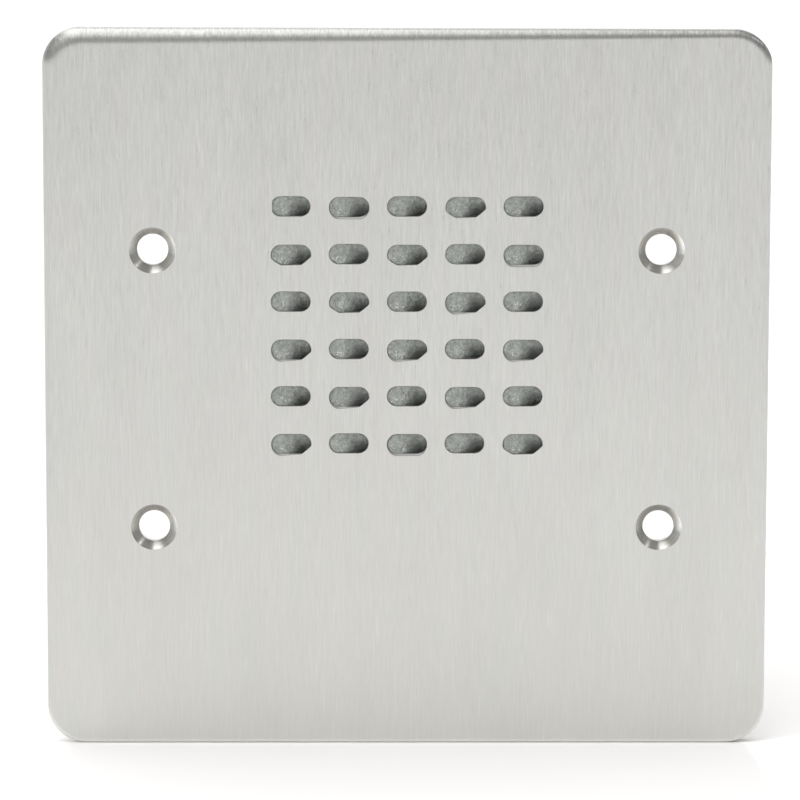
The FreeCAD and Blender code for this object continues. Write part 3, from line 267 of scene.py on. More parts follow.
def twin_of(piece: Piece, name: str) -> Piece:
    """A new bare piece with its own copy of another's mesh.

    Args:
        piece: The piece whose form is copied.
        name: The new piece's name.

    Returns:
        The new piece.
    """
    mesh = piece.data.copy()
    mesh.name = name
    mesh.materials.clear()
    twin = bpy.data.objects.new(name, mesh)
    bpy.context.scene.collection.objects.link(twin)
    return twin


def joined(name: str, pieces: Sequence[Piece]) -> Piece:
    """Join several pieces into one.

    Args:
        name: The name of the whole.
        pieces: The pieces.

    Returns:
        The whole.
    """
    only(pieces[0])
    for piece in pieces:
        piece.select_set(True)
    bpy.ops.object.join()
    result = bpy.context.view_layer.objects.active
    result.name = result.data.name = name
    return result


def carve(piece: Piece, cutter: Piece) -> None:
    """Cut one piece out of another and throw the cutter away."""
    use_modifier(piece, "BOOLEAN", object=cutter, operation="DIFFERENCE", solver="EXACT")
    bpy.data.objects.remove(cutter)


def smooth(piece: Piece, angle: float, weigh: bool = True) -> None:
    """Smooth a piece below an angle in degrees, and keep its flat faces flat."""
    only(piece)
    bpy.ops.object.shade_smooth_by_angle(angle=math.radians(angle))
    if weigh:
        use_modifier(piece, "WEIGHTED_NORMAL", keep_sharp=True, weight=80)


def wear(piece: Piece, *finishes: Any) -> None:
    """Give a piece its finishes and no others."""
    piece.data.materials.clear()
    for finish in finishes:
        piece.data.materials.append(finish.make())


def enter(piece: Piece, slot: str, *replaced: str) -> None:
    """Hide the nodes that a finished piece stands for, and log its faces."""
    if replaced:
        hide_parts(*replaced)
    log.info("%s: %d faces", piece.name, len(piece.data.polygons))


def settle(piece: Piece, slot: str, *replaced: str) -> None:
    """Hide the nodes that a finished piece stands for, log its faces, and fix it to the chassis."""
    enter(piece, slot, *replaced)
    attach(piece, CHASSIS)


def part_way(value: float, start: float, end: float) -> float:
    """How far a value is from a start to an end, held from 0 to 1."""
    return max(0.0, min(1.0, (value - start) / (end - start)))


def ease(value: float, start: float, end: float) -> float:
    """A smooth step from 0 at a start to 1 at an end."""
    share = part_way(value, start, end)
    return share * share * (3 - 2 * share)


class Nodes:
    """A tree of shader nodes, with the sums that the finishes are made of."""

    def __init__(self, tree: bpy.types.NodeTree, space: str) -> None:
        """Take a tree.

        Args:
            tree: The tree that nodes are added to.
            space: The coordinates that it works in.
        """
        self.tree: bpy.types.NodeTree = tree
        self.space: Socket = tree.nodes.new("ShaderNodeTexCoord").outputs[space]

    def node(self, kind: str, **values: Any) -> bpy.types.Node:
        """Add a node and set its options.

        Args:
            kind: The node's type without its ShaderNode prefix.
            **values: The node's options.

        Returns:
            The node.
        """
        added_node = self.tree.nodes.new("ShaderNode" + kind)
        for key, value in values.items():
            setattr(added_node, key, value)
        return added_node

    def feed(self, node: bpy.types.Node, *inputs: Any, **named: Any) -> bpy.types.Node:
        """Fill a node's sockets, from other sockets or with constants.

        Args:
            node: The node to fill.
            *inputs: Values in the order of the sockets, or None to leave one.
            **named: Values by socket name.

        Returns:
            The same node.
        """
        pairs = [(number, value) for number, value in enumerate(inputs) if value is not None]
        pairs += [(key.replace("_", " ").title(), value) for key, value in named.items()]
        for key, value in pairs:
            if isinstance(value, Socket):
                self.tree.links.new(value, node.inputs[key])
            else:
                node.inputs[key].default_value = value
        return node

    def part(self, vector: Socket, axis: str) -> Socket:
        """One part of a vector."""
        return self.feed(self.node("SeparateXYZ"), vector).outputs[axis]

    def stretched(self, x: float, y: float, z: float) -> Socket:
        """Object space scaled along each axis, in repeats per metre."""
        return self.feed(self.node("Mapping"), vector=self.space, scale=(x, y, z)).outputs[0]

    def noise(self, space: Socket, scale: float = 1.0, detail: float = 3.0, roughness: float = 0.55,
              distortion: float = 0.0) -> Socket:
        """Cloudy noise from 0 to 1."""
        return self.feed(self.node("TexNoise"), vector=space, scale=scale, detail=detail, roughness=roughness,
                         distortion=distortion).outputs[0]

    def cells(self, space: Socket, scale: float, feature: str = "F1") -> Socket:
        """Distance in a field of cells."""
        return self.feed(self.node("TexVoronoi", feature=feature), vector=space, scale=scale).outputs["Distance"]

    def waves(self, scale: float, axis: str, distortion: float) -> Socket:
        """Bands across one axis."""
        return self.feed(self.node("TexWave", bands_direction=axis), vector=self.space, scale=scale,
                         distortion=distortion).outputs[1]

    def math(self, operation: str, *values: Any) -> Socket:
        """One sum on numbers or sockets."""
        return self.feed(self.node("Math", operation=operation), *values).outputs[0]

    def vector(self, operation: str, *values: Any) -> Socket:
        """One sum on vectors."""
        made = self.feed(self.node("VectorMath", operation=operation), *values)
        return made.outputs["Value" if operation == "LENGTH" else "Vector"]

    def scaled(self, color: Socket, share: Socket) -> Socket:
        """A colour made lighter or darker by a share."""
        return self.feed(self.node("VectorMath", operation="SCALE"), color, scale=share).outputs[0]

    def weigh(self, first: Socket, first_share: float, second: Socket, second_share: float) -> Socket:
        """Add two values up by their shares."""
        return self.math("ADD", self.math("MULTIPLY", first, first_share), self.math("MULTIPLY", second, second_share))

    def remap(self, value: Socket, low: float, high: float, new_low: float, new_high: float) -> Socket:
        """Move a value from one range to another, clamped."""
        return self.feed(self.node("MapRange"), value, low, high, new_low, new_high).outputs[0]

    def ramp(self, value: Socket, stops: Sequence[tuple[float, Color]], steps: bool = False) -> Socket:
        """Turn a value into a colour.

        Args:
            value: The value, from 0 to 1.
            stops: Places and their colours.
            steps: Whether the colour changes in steps.

        Returns:
            The colour.
        """
        made = self.feed(self.node("ValToRGB"), value)
        band = made.color_ramp
        band.interpolation = "CONSTANT" if steps else "LINEAR"
        while len(band.elements) < len(stops):
            band.elements.new(0.5)
        for element, (place, color) in zip(band.elements, stops):
            element.position = place
            element.color = (*color, 1)
        return made.outputs[0]

    def mix(self, share: Socket, first: Any, second: Any) -> Socket:
        """Mix two colours."""
        colors = [(*color, 1) if isinstance(color, tuple) else color for color in (first, second)]
        return self.feed(self.node("Mix", data_type="RGBA"), share, *[None] * 5, *colors).outputs[2]


class Recipe(Nodes):
    """The nodes of one finish, round one shader."""

    def __init__(self, name: str, color: Color, metallic: float, roughness: float, **values: float) -> None:
        """Start a material.

        Args:
            name: The material's name.
            color: Its colour, linear.
            metallic: 1 for bare metal and 0 for everything else.
            roughness: How dull it is.
            **values: Constants for other sockets of the shader, with an underscore for each space.
        """
        self.material: Material = bpy.data.materials.new(name)
        self.material.use_nodes = True
        super().__init__(self.material.node_tree, "Object")
        self.shader: bpy.types.Node = self.tree.nodes["Principled BSDF"]
        self.shader.inputs["Base Color"].default_value = (*color, 1)
        for key, value in {"metallic": metallic, "roughness": roughness, **values}.items():
            self.shader.inputs[key.replace("_", " ").title().replace("Ior", "IOR")].default_value = value

    def tone(self, value: Socket, color: Color, swing: float) -> Socket:
        """The base colour made darker and lighter by a value."""
        dark = tuple(channel * (1 - swing) for channel in color)
        light = tuple(min(1.0, channel * (1 + swing)) for channel in color)
        return self.ramp(value, [(0.25, dark), (0.75, light)])

    def dull(self, value: Socket, less: float, more: float) -> Socket:
        """The roughness, from a little less to a little more than the shader's own."""
        middle = self.shader.inputs["Roughness"].default_value
        return self.remap(value, 0.3, 0.7, middle - less, middle + more)

    def bump(self, height: Socket, depth: float, strength: float) -> Socket:
        """Relief of a given depth in millimetres."""
        return self.feed(self.node("Bump"), height=height, distance=depth * MM, strength=strength).outputs[0]

    def paint(self, color: Socket, roughness: Optional[Socket] = None, normal: Optional[Socket] = None,
              tangent: Optional[Socket] = None) -> Material:
        """Join the parts of the finish to the shader and return the material."""
        for name, value in (("Base Color", color), ("Roughness", roughness), ("Normal", normal),
                            ("Tangent", tangent)):
            if value is not None:
                self.tree.links.new(value, self.shader.inputs[name])
        return self.material


@dataclass(frozen=True)
class BrushedPlateFinish:
    """Stainless steel with a fine upright brush grain that runs over the ground edge.

    The field calm sets the grain's depth from the plate's foot to its top, and the last field how much painted shade
    darkens the ground edge's upward faces towards the right.
    """

    color: Color = (0.675, 0.674, 0.649)
    warm: Color = (0.681, 0.673, 0.648)
    cool: Color = (0.67, 0.677, 0.651)
    calm: tuple[float, float, float] = (0.055, 0.35, 1.35)
    painted_edge_shade: float = 0.23

    def make(self) -> Material:
        """Build the material.

        Returns:
            The brushed steel.
        """
        recipe = Recipe("stainless_brushed", self.color, 1.0, 0.33, anisotropic=0.75)
        fine = recipe.noise(recipe.stretched(5200, 5200, 330), 1.0, 2, 0.6)
        medium = recipe.noise(recipe.stretched(2300, 2300, 190), 1.0, 3, 0.65, 0.3)
        broad = recipe.noise(recipe.stretched(170, 170, 30))
        tint = recipe.noise(recipe.stretched(420, 420, 55), 1.0, 2, 0.5)
        lines = recipe.remap(recipe.noise(recipe.stretched(3600, 3600, 140), 1.0, 1, 0.5), 0.64, 0.74, 0.0, 1.0)
        grain = self.calmed(recipe, recipe.weigh(fine, 0.55, medium, 0.45))
        level = recipe.weigh(grain, 0.85, broad, 0.15)
        tinted = recipe.mix(recipe.remap(tint, 0.35, 0.65, 0.0, 1.0), self.warm, self.cool)
        shade = recipe.math("ADD", recipe.remap(level, 0.3, 0.7, 0.875, 1.125), recipe.math("MULTIPLY", lines, 0.06))
        shade = recipe.math("MULTIPLY", shade, self.ground_edge(recipe))
        normal = recipe.node("NewGeometry").outputs["Normal"]
        across = recipe.vector("ADD", recipe.vector("CROSS_PRODUCT", (0, 0, 1), normal), (0.01, 0, 0))
        return recipe.paint(recipe.scaled(tinted, shade), recipe.dull(grain, 0.07, 0.08),
                            recipe.bump(grain, 0.004, 0.4), across)

    def calmed(self, recipe: Recipe, grain: Socket) -> Socket:
        """The grain, deeper at the top of the plate than at its foot."""
        reach, foot, top = self.calm
        depth = recipe.remap(recipe.part(recipe.space, "Z"), -reach, reach, foot, top)
        return recipe.math("MULTIPLY_ADD", recipe.math("SUBTRACT", grain, 0.5), depth, 0.5)

    def ground_edge(self, recipe: Recipe) -> Socket:
        """How the grinding streaks the surface where it turns up from the front, and painted shade that darkens it
        towards the right.
        """
        up = recipe.part(recipe.node("NewGeometry").outputs["Normal"], "Z")
        streaks = recipe.noise(recipe.stretched(3000, 900, 900), 1.0, 4, 0.7, 0.4)
        # Painted shade: the upward faces of the ground edge are made darker towards the right.
        painted_edge_shade = recipe.remap(recipe.part(recipe.space, "X"), -0.005, 0.05, 0.0, -self.painted_edge_shade)
        chatter = recipe.math("ADD", recipe.remap(streaks, 0.32, 0.68, -0.3, 0.1), painted_edge_shade)
        return recipe.math("MULTIPLY_ADD", recipe.remap(up, 0.08, 0.3, 0.0, 1.0), chatter, 1.0)


@dataclass(frozen=True)
class CountersinkFinish:
    """Steel turned by a countersinking tool, with rings round each hole and a painted highlight that makes their right
    side brighter.
    """

    color: Color = (0.53, 0.52, 0.49)
    # How much the painted highlight brightens the right side of each countersink.
    painted_right_highlight: float = 2.1
    ring_repeats: float = 9000.0

    def make(self) -> Material:
        """Build the material.

        Returns:
            The turned steel.
        """
        recipe = Recipe("stainless_turned", self.color, 1.0, 0.27, anisotropic=0.6)
        flat = recipe.vector("MULTIPLY", recipe.space, (1, 0, 1))
        inward = recipe.vector("SUBTRACT", recipe.vector("ABSOLUTE", flat), (HOLE_X * MM, 0, HOLE_Z * MM))
        away = recipe.vector("MULTIPLY", inward, recipe.vector("SIGN", flat))
        distance = recipe.math("MULTIPLY", recipe.vector("LENGTH", away), self.ring_repeats)
        rings = recipe.noise(recipe.feed(recipe.node("CombineXYZ"), distance).outputs[0], 1.0, 2, 0.6)
        aside = recipe.part(recipe.vector("NORMALIZE", away), "X")
        # Painted highlight: the colour is made brighter towards the right side of each countersink.
        tone = recipe.scaled(recipe.tone(rings, self.color, 0.22), recipe.remap(aside, 0.45, 1.0, 1.0, self.painted_right_highlight))
        return recipe.paint(tone, None, recipe.bump(rings, 0.004, 0.5), away)


@dataclass(frozen=True)
class MetalFinish:
    """A worked metal."""

    name: str
    color: Color
    roughness: float = 0.35
    grain: Grain = Grain.PLATED
    swing: float = 0.08

    def make(self) -> Material:
        """Build the material.

        Returns:
            The metal.
        """
        recipe = Recipe(self.name, self.color, 1.0, self.roughness)
        repeats, detail, rough, depth = self.grain.value
        relief = recipe.noise(recipe.stretched(*repeats), 1.0, detail, rough)
        level = recipe.weigh(relief, 0.5, recipe.noise(recipe.space, 260, 4, 0.6), 0.5)
        return recipe.paint(recipe.tone(level, self.color, self.swing), recipe.dull(level, 0.07, 0.1),
                            recipe.bump(relief, depth, 0.5))


@dataclass(frozen=True)
class PlasticFinish:
    """A moulded plastic, a rubber or a paint with a fine texture."""

    name: str
    color: Color
    roughness: float = 0.45
    grain: float = 0.25
    depth: float = 0.01
    coat: float = 0.0

    def make(self) -> Material:
        """Build the material.

        Returns:
            The plastic.
        """
        recipe = Recipe(self.name, self.color, 0.0, self.roughness, coat_weight=self.coat, coat_roughness=0.12)
        pebble = recipe.noise(recipe.space, 1000 / self.grain, 3, 0.6)
        cloud = recipe.noise(recipe.space, 180)
        level = recipe.weigh(pebble, 0.35, cloud, 0.65)
        return recipe.paint(recipe.tone(level, self.color, 0.1), recipe.dull(cloud, 0.06, 0.08),
                            recipe.bump(pebble, self.depth, 0.5))


@dataclass(frozen=True)
class FibreFinish:
    """Pulp paper: matted fibres with lighter specks."""

    name: str
    color: Color
    speck: Color = (0.2, 0.19, 0.17)

    def make(self) -> Material:
        """Build the material.

        Returns:
            The paper.
        """
        recipe = Recipe(self.name, self.color, 0.0, 0.85)
        felt = recipe.noise(recipe.space, 1600, 6, 0.75, 1.5)
        hairs = recipe.noise(recipe.stretched(3800, 900, 700), 1.0, 4, 0.7, 2.0)
        color = recipe.mix(recipe.remap(hairs, 0.56, 0.66, 0.0, 0.35), recipe.tone(felt, self.color, 0.3), self.speck)
        return recipe.paint(color, None, recipe.bump(felt, 0.05, 0.8))


@dataclass(frozen=True)
class WovenFinish:
    """Stiffened cloth: two sets of threads that cross."""

    name: str
    color: Color
    pitch: float
    roughness: float = 0.6

    def make(self) -> Material:
        """Build the material.

        Returns:
            The cloth.
        """
        recipe = Recipe(self.name, self.color, 0.0, self.roughness, sheen_weight=0.2, sheen_roughness=0.5)
        repeats = 1000 / self.pitch / math.tau
        threads = recipe.math("MAXIMUM", recipe.waves(repeats, "X", 0.4), recipe.waves(repeats, "Z", 0.4))
        level = recipe.weigh(threads, 0.6, recipe.noise(recipe.space, 320, 3, 0.6), 0.4)
        return recipe.paint(recipe.tone(level, self.color, 0.3), None, recipe.bump(threads, 0.06, 0.8))


@dataclass(frozen=True)
class FoamFinish:
    """Open-cell foam: pores between fine struts, with painted shade that darkens it towards the lower right of each
    slot, and painted glints towards the lower left.

    The zone names a point attribute: the share of painted shade in red, and of painted glints in green.
    """

    zone: str = "slot_painted_light"
    color: Color = (0.305, 0.325, 0.3)
    # Painted shade: the colour that the foam darkens to towards the lower right of each slot.
    painted_shade_color: Color = (0.14, 0.154, 0.142)
    # Painted glints: a near-white colour mixed into the base colour.
    painted_glint_color: Color = (0.95, 0.96, 0.94)
    pore: float = 0.26

    def make(self) -> Material:
        """Build the material.

        Returns:
            The foam.
        """
        recipe = Recipe("foam_open_cell", self.color, 0.0, 0.6, sheen_weight=0.1, sheen_roughness=0.4,
                        specular_ior_level=0.6)
        zones = recipe.feed(recipe.node("SeparateColor"),
                            recipe.node("VertexColor", layer_name=self.zone).outputs["Color"]).outputs
        bent = self.bent(recipe)
        struts = recipe.cells(bent, 1000 / self.pore, "DISTANCE_TO_EDGE")
        holes = recipe.remap(struts, 0.03, 0.3, 1.0, 0.0)
        mottle = recipe.noise(recipe.space, 1500, 4, 0.7)
        # Painted shade: the colour darkens by the red share, towards the lower right of each slot.
        base = recipe.mix(zones["Red"], self.color, self.painted_shade_color)
        shade = recipe.math("ADD", recipe.remap(mottle, 0.3, 0.7, 0.58, 1.24), recipe.remap(holes, 0, 1, -0.12, 0.14))
        flat = recipe.remap(recipe.noise(recipe.space, 2100, 2, 0.5), 0.44, 0.56, 0.0, 1.0)
        # Painted glints: bright cells mixed into the base colour by the green share, towards the lower left of each
        # slot.
        painted_glint_spots = recipe.remap(recipe.cells(bent, 1000 / self.pore * 0.72), 0.2, 0.36, 1.0, 0.0)
        share = recipe.math("MULTIPLY", recipe.math("MULTIPLY", painted_glint_spots, flat), zones["Green"])
        relief = recipe.math("ADD", holes, recipe.math("MULTIPLY", mottle, 0.9))
        return recipe.paint(recipe.mix(share, recipe.scaled(base, shade), self.painted_glint_color),
                            recipe.remap(mottle, 0.35, 0.65, 0.4, 0.8), recipe.bump(relief, 0.1, 0.8))

    def bent(self, recipe: Recipe) -> Socket:
        """Object space bent a little, so that no row of pores is straight."""
        wobble = recipe.feed(recipe.node("TexNoise"), vector=recipe.space, scale=1500.0, detail=2.0)
        return recipe.vector("MULTIPLY_ADD", wobble.outputs[1], (0.00018, 0.00018, 0.00018), recipe.space)


@dataclass(frozen=True)
class BoardFinish:
    """Glass laminate under a green solder mask, with bare laminate at its cut edges."""

    color: Color = (0.012, 0.13, 0.055)
    laminate: Color = (0.42, 0.4, 0.22)

    def make(self) -> Material:
        """Build the material.

        Returns:
            The board.
        """
        recipe = Recipe("board_green", self.color, 0.0, 0.28, coat_weight=0.4, coat_roughness=0.15)
        weave = recipe.math("MAXIMUM", recipe.waves(190, "X", 0.3), recipe.waves(190, "Z", 0.3))
        cloud = recipe.noise(recipe.space, 320)
        mask = recipe.tone(recipe.weigh(weave, 0.35, cloud, 0.65), self.color, 0.22)
        turned = recipe.part(recipe.node("NewGeometry").outputs["Normal"], "Y")
        facing = recipe.math("GREATER_THAN", recipe.math("ABSOLUTE", turned), 0.5)
        color = recipe.mix(facing, recipe.tone(recipe.waves(800, "Y", 0.5), self.laminate, 0.2), mask)
        return recipe.paint(color, recipe.dull(cloud, 0.04, 0.08), recipe.bump(weave, 0.008, 0.5))


@dataclass(frozen=True)
class BandedFinish:
    """Lacquered resistors with colour rings, the same on each one of two columns.

    The rings are given by their place along the resistor, in millimetres from its middle.
    """

    color: Color = (0.52, 0.4, 0.24)
    first_x: float = -19.99
    step_x: float = 13.0
    rings: tuple[tuple[float, Color], ...] = ((-2.0, (0.16, 0.05, 0.02)), (-0.95, (0.012, 0.012, 0.012)),
                                              (0.1, (0.62, 0.13, 0.012)), (1.9, (0.45, 0.29, 0.05)))
    width: float = 0.55

    def make(self) -> Material:
        """Build the material.

        Returns:
            The banded lacquer.
        """
        recipe = Recipe("resistor_banded", self.color, 0.0, 0.32, coat_weight=0.5, coat_roughness=0.12)
        start = (self.first_x - self.step_x / 2) * MM
        along = recipe.math("SUBTRACT", recipe.part(recipe.space, "X"), start)
        local = recipe.math("FRACT", recipe.math("DIVIDE", along, self.step_x * MM))
        stops = [(0.0, self.color)]
        for offset, ring in self.rings:
            stops.append((0.5 + (offset - self.width / 2) / self.step_x, ring))
            stops.append((0.5 + (offset + self.width / 2) / self.step_x, self.color))
        grain = recipe.noise(recipe.space, 1400)
        color = recipe.scaled(recipe.ramp(local, stops, True), recipe.remap(grain, 0.3, 0.7, 0.88, 1.1))
        return recipe.paint(color, recipe.dull(grain, 0.06, 0.08), recipe.bump(grain, 0.01, 0.5))


@dataclass(frozen=True)
class LayeredFinish:
    """Thin layers seen on edge, such as core laminations or wound tape."""

    name: str
    color: Color
    gap: Color
    pitch: float
    axis: str = "Y"
    metallic: float = 0.0
    roughness: float = 0.4

    def make(self) -> Material:
        """Build the material.

        Returns:
            The layered finish.
        """
        recipe = Recipe(self.name, self.color, self.metallic, self.roughness)
        lines = recipe.waves(1000 / self.pitch / math.tau, self.axis, 0.15)
        share = recipe.remap(lines, 0.1, 0.35, 0.0, 1.0)
        stain = recipe.noise(recipe.space, 420, 4, 0.65)
        color = recipe.mix(share, self.gap, recipe.tone(stain, self.color, 0.22))
        return recipe.paint(color, recipe.dull(stain, 0.08, 0.15), recipe.bump(share, 0.04, 0.6))


@dataclass(frozen=True)
class StudioFinish:
    """The glossy white floor, a little warmer near the plate; near and far are in metres."""

    color: Color = (0.92, 0.92, 0.916)
    near_color: Color = (0.925, 0.911, 0.902)
    near: float = 0.06
    far: float = 0.42

    def make(self) -> Material:
        """Build the material.

        Returns:
            The floor's material.
        """
        recipe = Recipe("studio_floor", self.color, 0.0, 0.05, ior=1.15)
        away = recipe.vector("LENGTH", recipe.space)
        color = recipe.mix(recipe.remap(away, self.near, self.far, 0.0, 1.0), self.near_color, self.color)
        return recipe.paint(color, recipe.dull(recipe.noise(recipe.space, 6, 2), 0.01, 0.01))


STEEL_WALL = MetalFinish("slot_wall", (0.42, 0.42, 0.41), 0.45, Grain.TURNED)
MASKED_COPPER = PlasticFinish("mask_over_copper", (0.028, 0.235, 0.095), 0.26, 0.5, 0.004, 0.4)
TINNED_PAD = MetalFinish("pad_tinned", (0.72, 0.72, 0.7), 0.25)
CAN_SLEEVE = PlasticFinish("can_sleeve", (0.014, 0.02, 0.055), 0.24, 0.6, 0.006, 0.5)
CAN_STRIPE = PlasticFinish("can_stripe", (0.42, 0.44, 0.5), 0.3, 0.6, 0.006, 0.4)
CAN_METAL = MetalFinish("can_aluminium", (0.78, 0.78, 0.79), 0.3)

FINISHES: dict[str, Any] = {
    "stud_steel": MetalFinish("stud_copper_flash", (0.55, 0.36, 0.24), 0.4),
    "spacer_aluminium": MetalFinish("aluminium_turned", (0.76, 0.77, 0.78), 0.32, Grain.TURNED),
    "guard_black": PlasticFinish("guard_paint", (0.02, 0.02, 0.022), 0.5, 0.35, 0.02),
    "gasket_rubber": PlasticFinish("gasket_cellular", (0.03, 0.03, 0.031), 0.8, 0.4, 0.06),
    "retainer_plastic": PlasticFinish("retainer_moulded", (0.028, 0.029, 0.031), 0.5, 0.3, 0.02),
    "frame_zinc": MetalFinish("frame_plated", (0.62, 0.63, 0.6), 0.34, Grain.ROLLED),
    "surround_cloth": WovenFinish("surround_doped", (0.04, 0.037, 0.034), 0.4),
    "cone_paper": FibreFinish("cone_pulp", (0.05, 0.047, 0.044)),
    "cap_paper": FibreFinish("cap_pulp", (0.04, 0.038, 0.036)),
    "former_foil": MetalFinish("former_foil", (0.8, 0.8, 0.8), 0.25, Grain.ROLLED),
    "coil_copper": LayeredFinish("coil_wire", (0.72, 0.3, 0.13), (0.18, 0.05, 0.02), 0.16, "Y", 1.0, 0.3),
    "spider_cloth": WovenFinish("spider_resin", (0.5, 0.32, 0.1), 0.5),
    "pole_steel": MetalFinish("pole_plated", (0.64, 0.65, 0.66), 0.3, Grain.TURNED),
    "magnet_ferrite": MetalFinish("ferrite_ground", (0.045, 0.045, 0.048), 0.55, Grain.CAST),
    "tag_board": LayeredFinish("tag_laminate", (0.26, 0.13, 0.05), (0.16, 0.08, 0.03), 0.25),
    "rivet_brass": MetalFinish("rivet_brass", (0.72, 0.52, 0.22), 0.3),
    "tinned_metal": MetalFinish("tinned_wire", (0.74, 0.73, 0.7), 0.3),
    "tinsel_braid": LayeredFinish("tinsel_braid", (0.7, 0.42, 0.26), (0.25, 0.13, 0.07), 0.3, "DIAGONAL", 1.0),
    "boot_rubber": PlasticFinish("boot_rubber", (0.022, 0.022, 0.022), 0.65, 0.3, 0.02),
    "capsule_can": MetalFinish("capsule_drawn", (0.75, 0.75, 0.76), 0.25),
    "washer_steel": MetalFinish("washer_plated", (0.6, 0.61, 0.58)),
    "standoff_nickel": MetalFinish("standoff_nickel", (0.66, 0.6, 0.48), 0.25, Grain.TURNED),
    "board_laminate": BoardFinish(),
    "solder": MetalFinish("solder_joint", (0.72, 0.72, 0.72), 0.22),
    "screw_zinc": MetalFinish("screw_plated", (0.68, 0.68, 0.66), 0.28),
    "terminal_plastic": PlasticFinish("terminal_moulded", (0.03, 0.26, 0.09), 0.38, 0.3, 0.012),
    "terminal_screw_steel": MetalFinish("terminal_screw_plated", (0.64, 0.65, 0.62), 0.3, Grain.TURNED),
    "clamp_nickel": MetalFinish("clamp_nickel", (0.68, 0.63, 0.53), 0.3),
    "core_laminations": LayeredFinish("core_stack", (0.12, 0.11, 0.1), (0.03, 0.028, 0.026), 0.5, "Y", 0.7, 0.5),
    "bobbin_plastic": PlasticFinish("bobbin_moulded", (0.03, 0.03, 0.03)),
    "winding_tape": LayeredFinish("winding_tape", (0.78, 0.55, 0.06), (0.5, 0.33, 0.03), 2.6, "Z", 0.0, 0.25),
    "film_box": PlasticFinish("film_case", (0.5, 0.05, 0.03), 0.3, 0.4, 0.008, 0.3),
    "chip_epoxy": PlasticFinish("chip_epoxy", (0.022, 0.022, 0.024), 0.55, 0.2, 0.015),
    "resistor_lacquer": BandedFinish(),
    "trimmer_blue": PlasticFinish("trimmer_moulded", (0.02, 0.09, 0.36), 0.35),
    "rotor_white": PlasticFinish("rotor_moulded", (0.75, 0.73, 0.66), 0.4),
    "lead_red": PlasticFinish("lead_red", (0.48, 0.015, 0.01), 0.35, 0.5, 0.005, 0.2),
    "lead_black": PlasticFinish("lead_black", (0.015, 0.015, 0.015), 0.38, 0.5, 0.005, 0.2),
    "lead_grey": PlasticFinish("lead_grey", (0.25, 0.255, 0.26), 0.42, 0.5, 0.005, 0.1),
}


@dataclass(frozen=True)
class Slot:
    """One speech slot: its place and how its lip was struck."""

    x: float
    z: float
    lip: Lip

    @property
    def deep_lip(self) -> Lip:
        """The form of the slot below its struck lip, where only a squared end goes on."""
        return Lip.RAGGED if self.lip is Lip.RAGGED else Lip.PLAIN


LIPS: dict[tuple[int, int], Lip] = {
    (0, 0): Lip.RAGGED, (0, 1): Lip.ROUND, (0, 3): Lip.BOTH, (1, 0): Lip.BOTH, (1, 2): Lip.BOTH,
    (1, 4): Lip.ROUND, (2, 1): Lip.BOTH, (2, 3): Lip.RIGHT, (3, 0): Lip.RIGHT, (3, 2): Lip.RIGHT,
    (3, 4): Lip.RIGHT, (4, 1): Lip.RIGHT, (4, 3): Lip.RIGHT, (5, 0): Lip.RIGHT, (5, 2): Lip.ROUND,
    (5, 4): Lip.BOTH,
}


@dataclass
class SlotGrid:
    """The places and outlines of the speech slots.

    Every second slot is a little longer and shifted, and is struck below the share struck_from of its
    radius. The share crispness says how straight the struck corners are.
    """

    columns: int = 5
    rows: int = 6
    pitch_x: float = 9.525
    pitch_z: float = 7.85
    length: float = 6.46
    height: float = 3.28
    second_growth: float = 0.14
    shift_x: float = 0.065
    shift_z: float = 0.125
    lip_drop: float = 0.32
    lip_half: float = 1.25
    right_rise: float = 1.75
    left_rise: float = 1.35
    struck_from: float = 0.2
    crispness: float = 0.9
    ragged_x: float = -2.86
    ragged_bow: float = 0.1
    arc_steps: int = 16

    def places(self) -> list[Slot]:
        """Every slot, row by row from the top left."""
        found = []
        for row in range(self.rows):
            for column in range(self.columns):
                second = (row + column) % 2
                x = (column - (self.columns - 1) / 2) * self.pitch_x + second * self.shift_x
                z = ((self.rows - 1) / 2 - row) * self.pitch_z - second * self.shift_z
                found.append(Slot(x, GRILLE_Z + z, LIPS.get((row, column), Lip.PLAIN)))
        return found

    def share_of(self, slot: Slot, x: float, z: float) -> Pair:
        """A place in a slot as shares of its half length and half height."""
        return (x - slot.x) / (self.length / 2), (z - slot.z) / (self.height / 2)

    def outline(self, lip: Lip, inset: float = 0.0) -> Outline:
        """The outline of one slot about its centre.

        Args:
            lip: How its lower lip was struck.
            inset: How far inside the wall the outline runs.

        Returns:
            Points (x, z), anticlockwise.
        """
        radius = self.height / 2 - inset
        growth = 0.0 if lip in (Lip.PLAIN, Lip.RAGGED) else self.second_growth
        straight = (self.length + growth - self.height) / 2
        points = []
        for side in (1, -1):
            for step in range(self.arc_steps + 1):
                turn = math.pi * (step / self.arc_steps - 0.5)
                points.append((side * (straight + radius * math.cos(turn)), side * radius * math.sin(turn)))
        return [self.struck(x, z, lip, radius, straight + radius) for x, z in points]

    def struck(self, x: float, z: float, lip: Lip, radius: float, reach: float) -> Pair:
        """One point of the outline after the lip is struck.

        Args:
            x: The point's X on the plain outline.
            z: Its Z there.
            lip: How the lip was struck.
            radius: The radius of the slot's ends.
            reach: Half the slot's length.

        Returns:
            The point's new place.
        """
        if lip is Lip.RAGGED:
            return max(x, self.ragged_x - self.ragged_bow * (1 - (z / radius) ** 2)), z
        top = self.struck_from * radius
        if lip is Lip.PLAIN or z > top:
            return x, z
        drawn = z - self.lip_drop * part_way(z, top, -radius)
        if lip is Lip.ROUND or (lip is Lip.RIGHT and x < 0):
            return x, drawn
        slope = max(0.0, (abs(x) - self.lip_half) / (reach - self.lip_half))
        chord = slope * (self.right_rise if x > 0 else self.left_rise) - radius - self.lip_drop
        return x, self.crispness * max(drawn, min(chord, top)) + (1 - self.crispness) * drawn


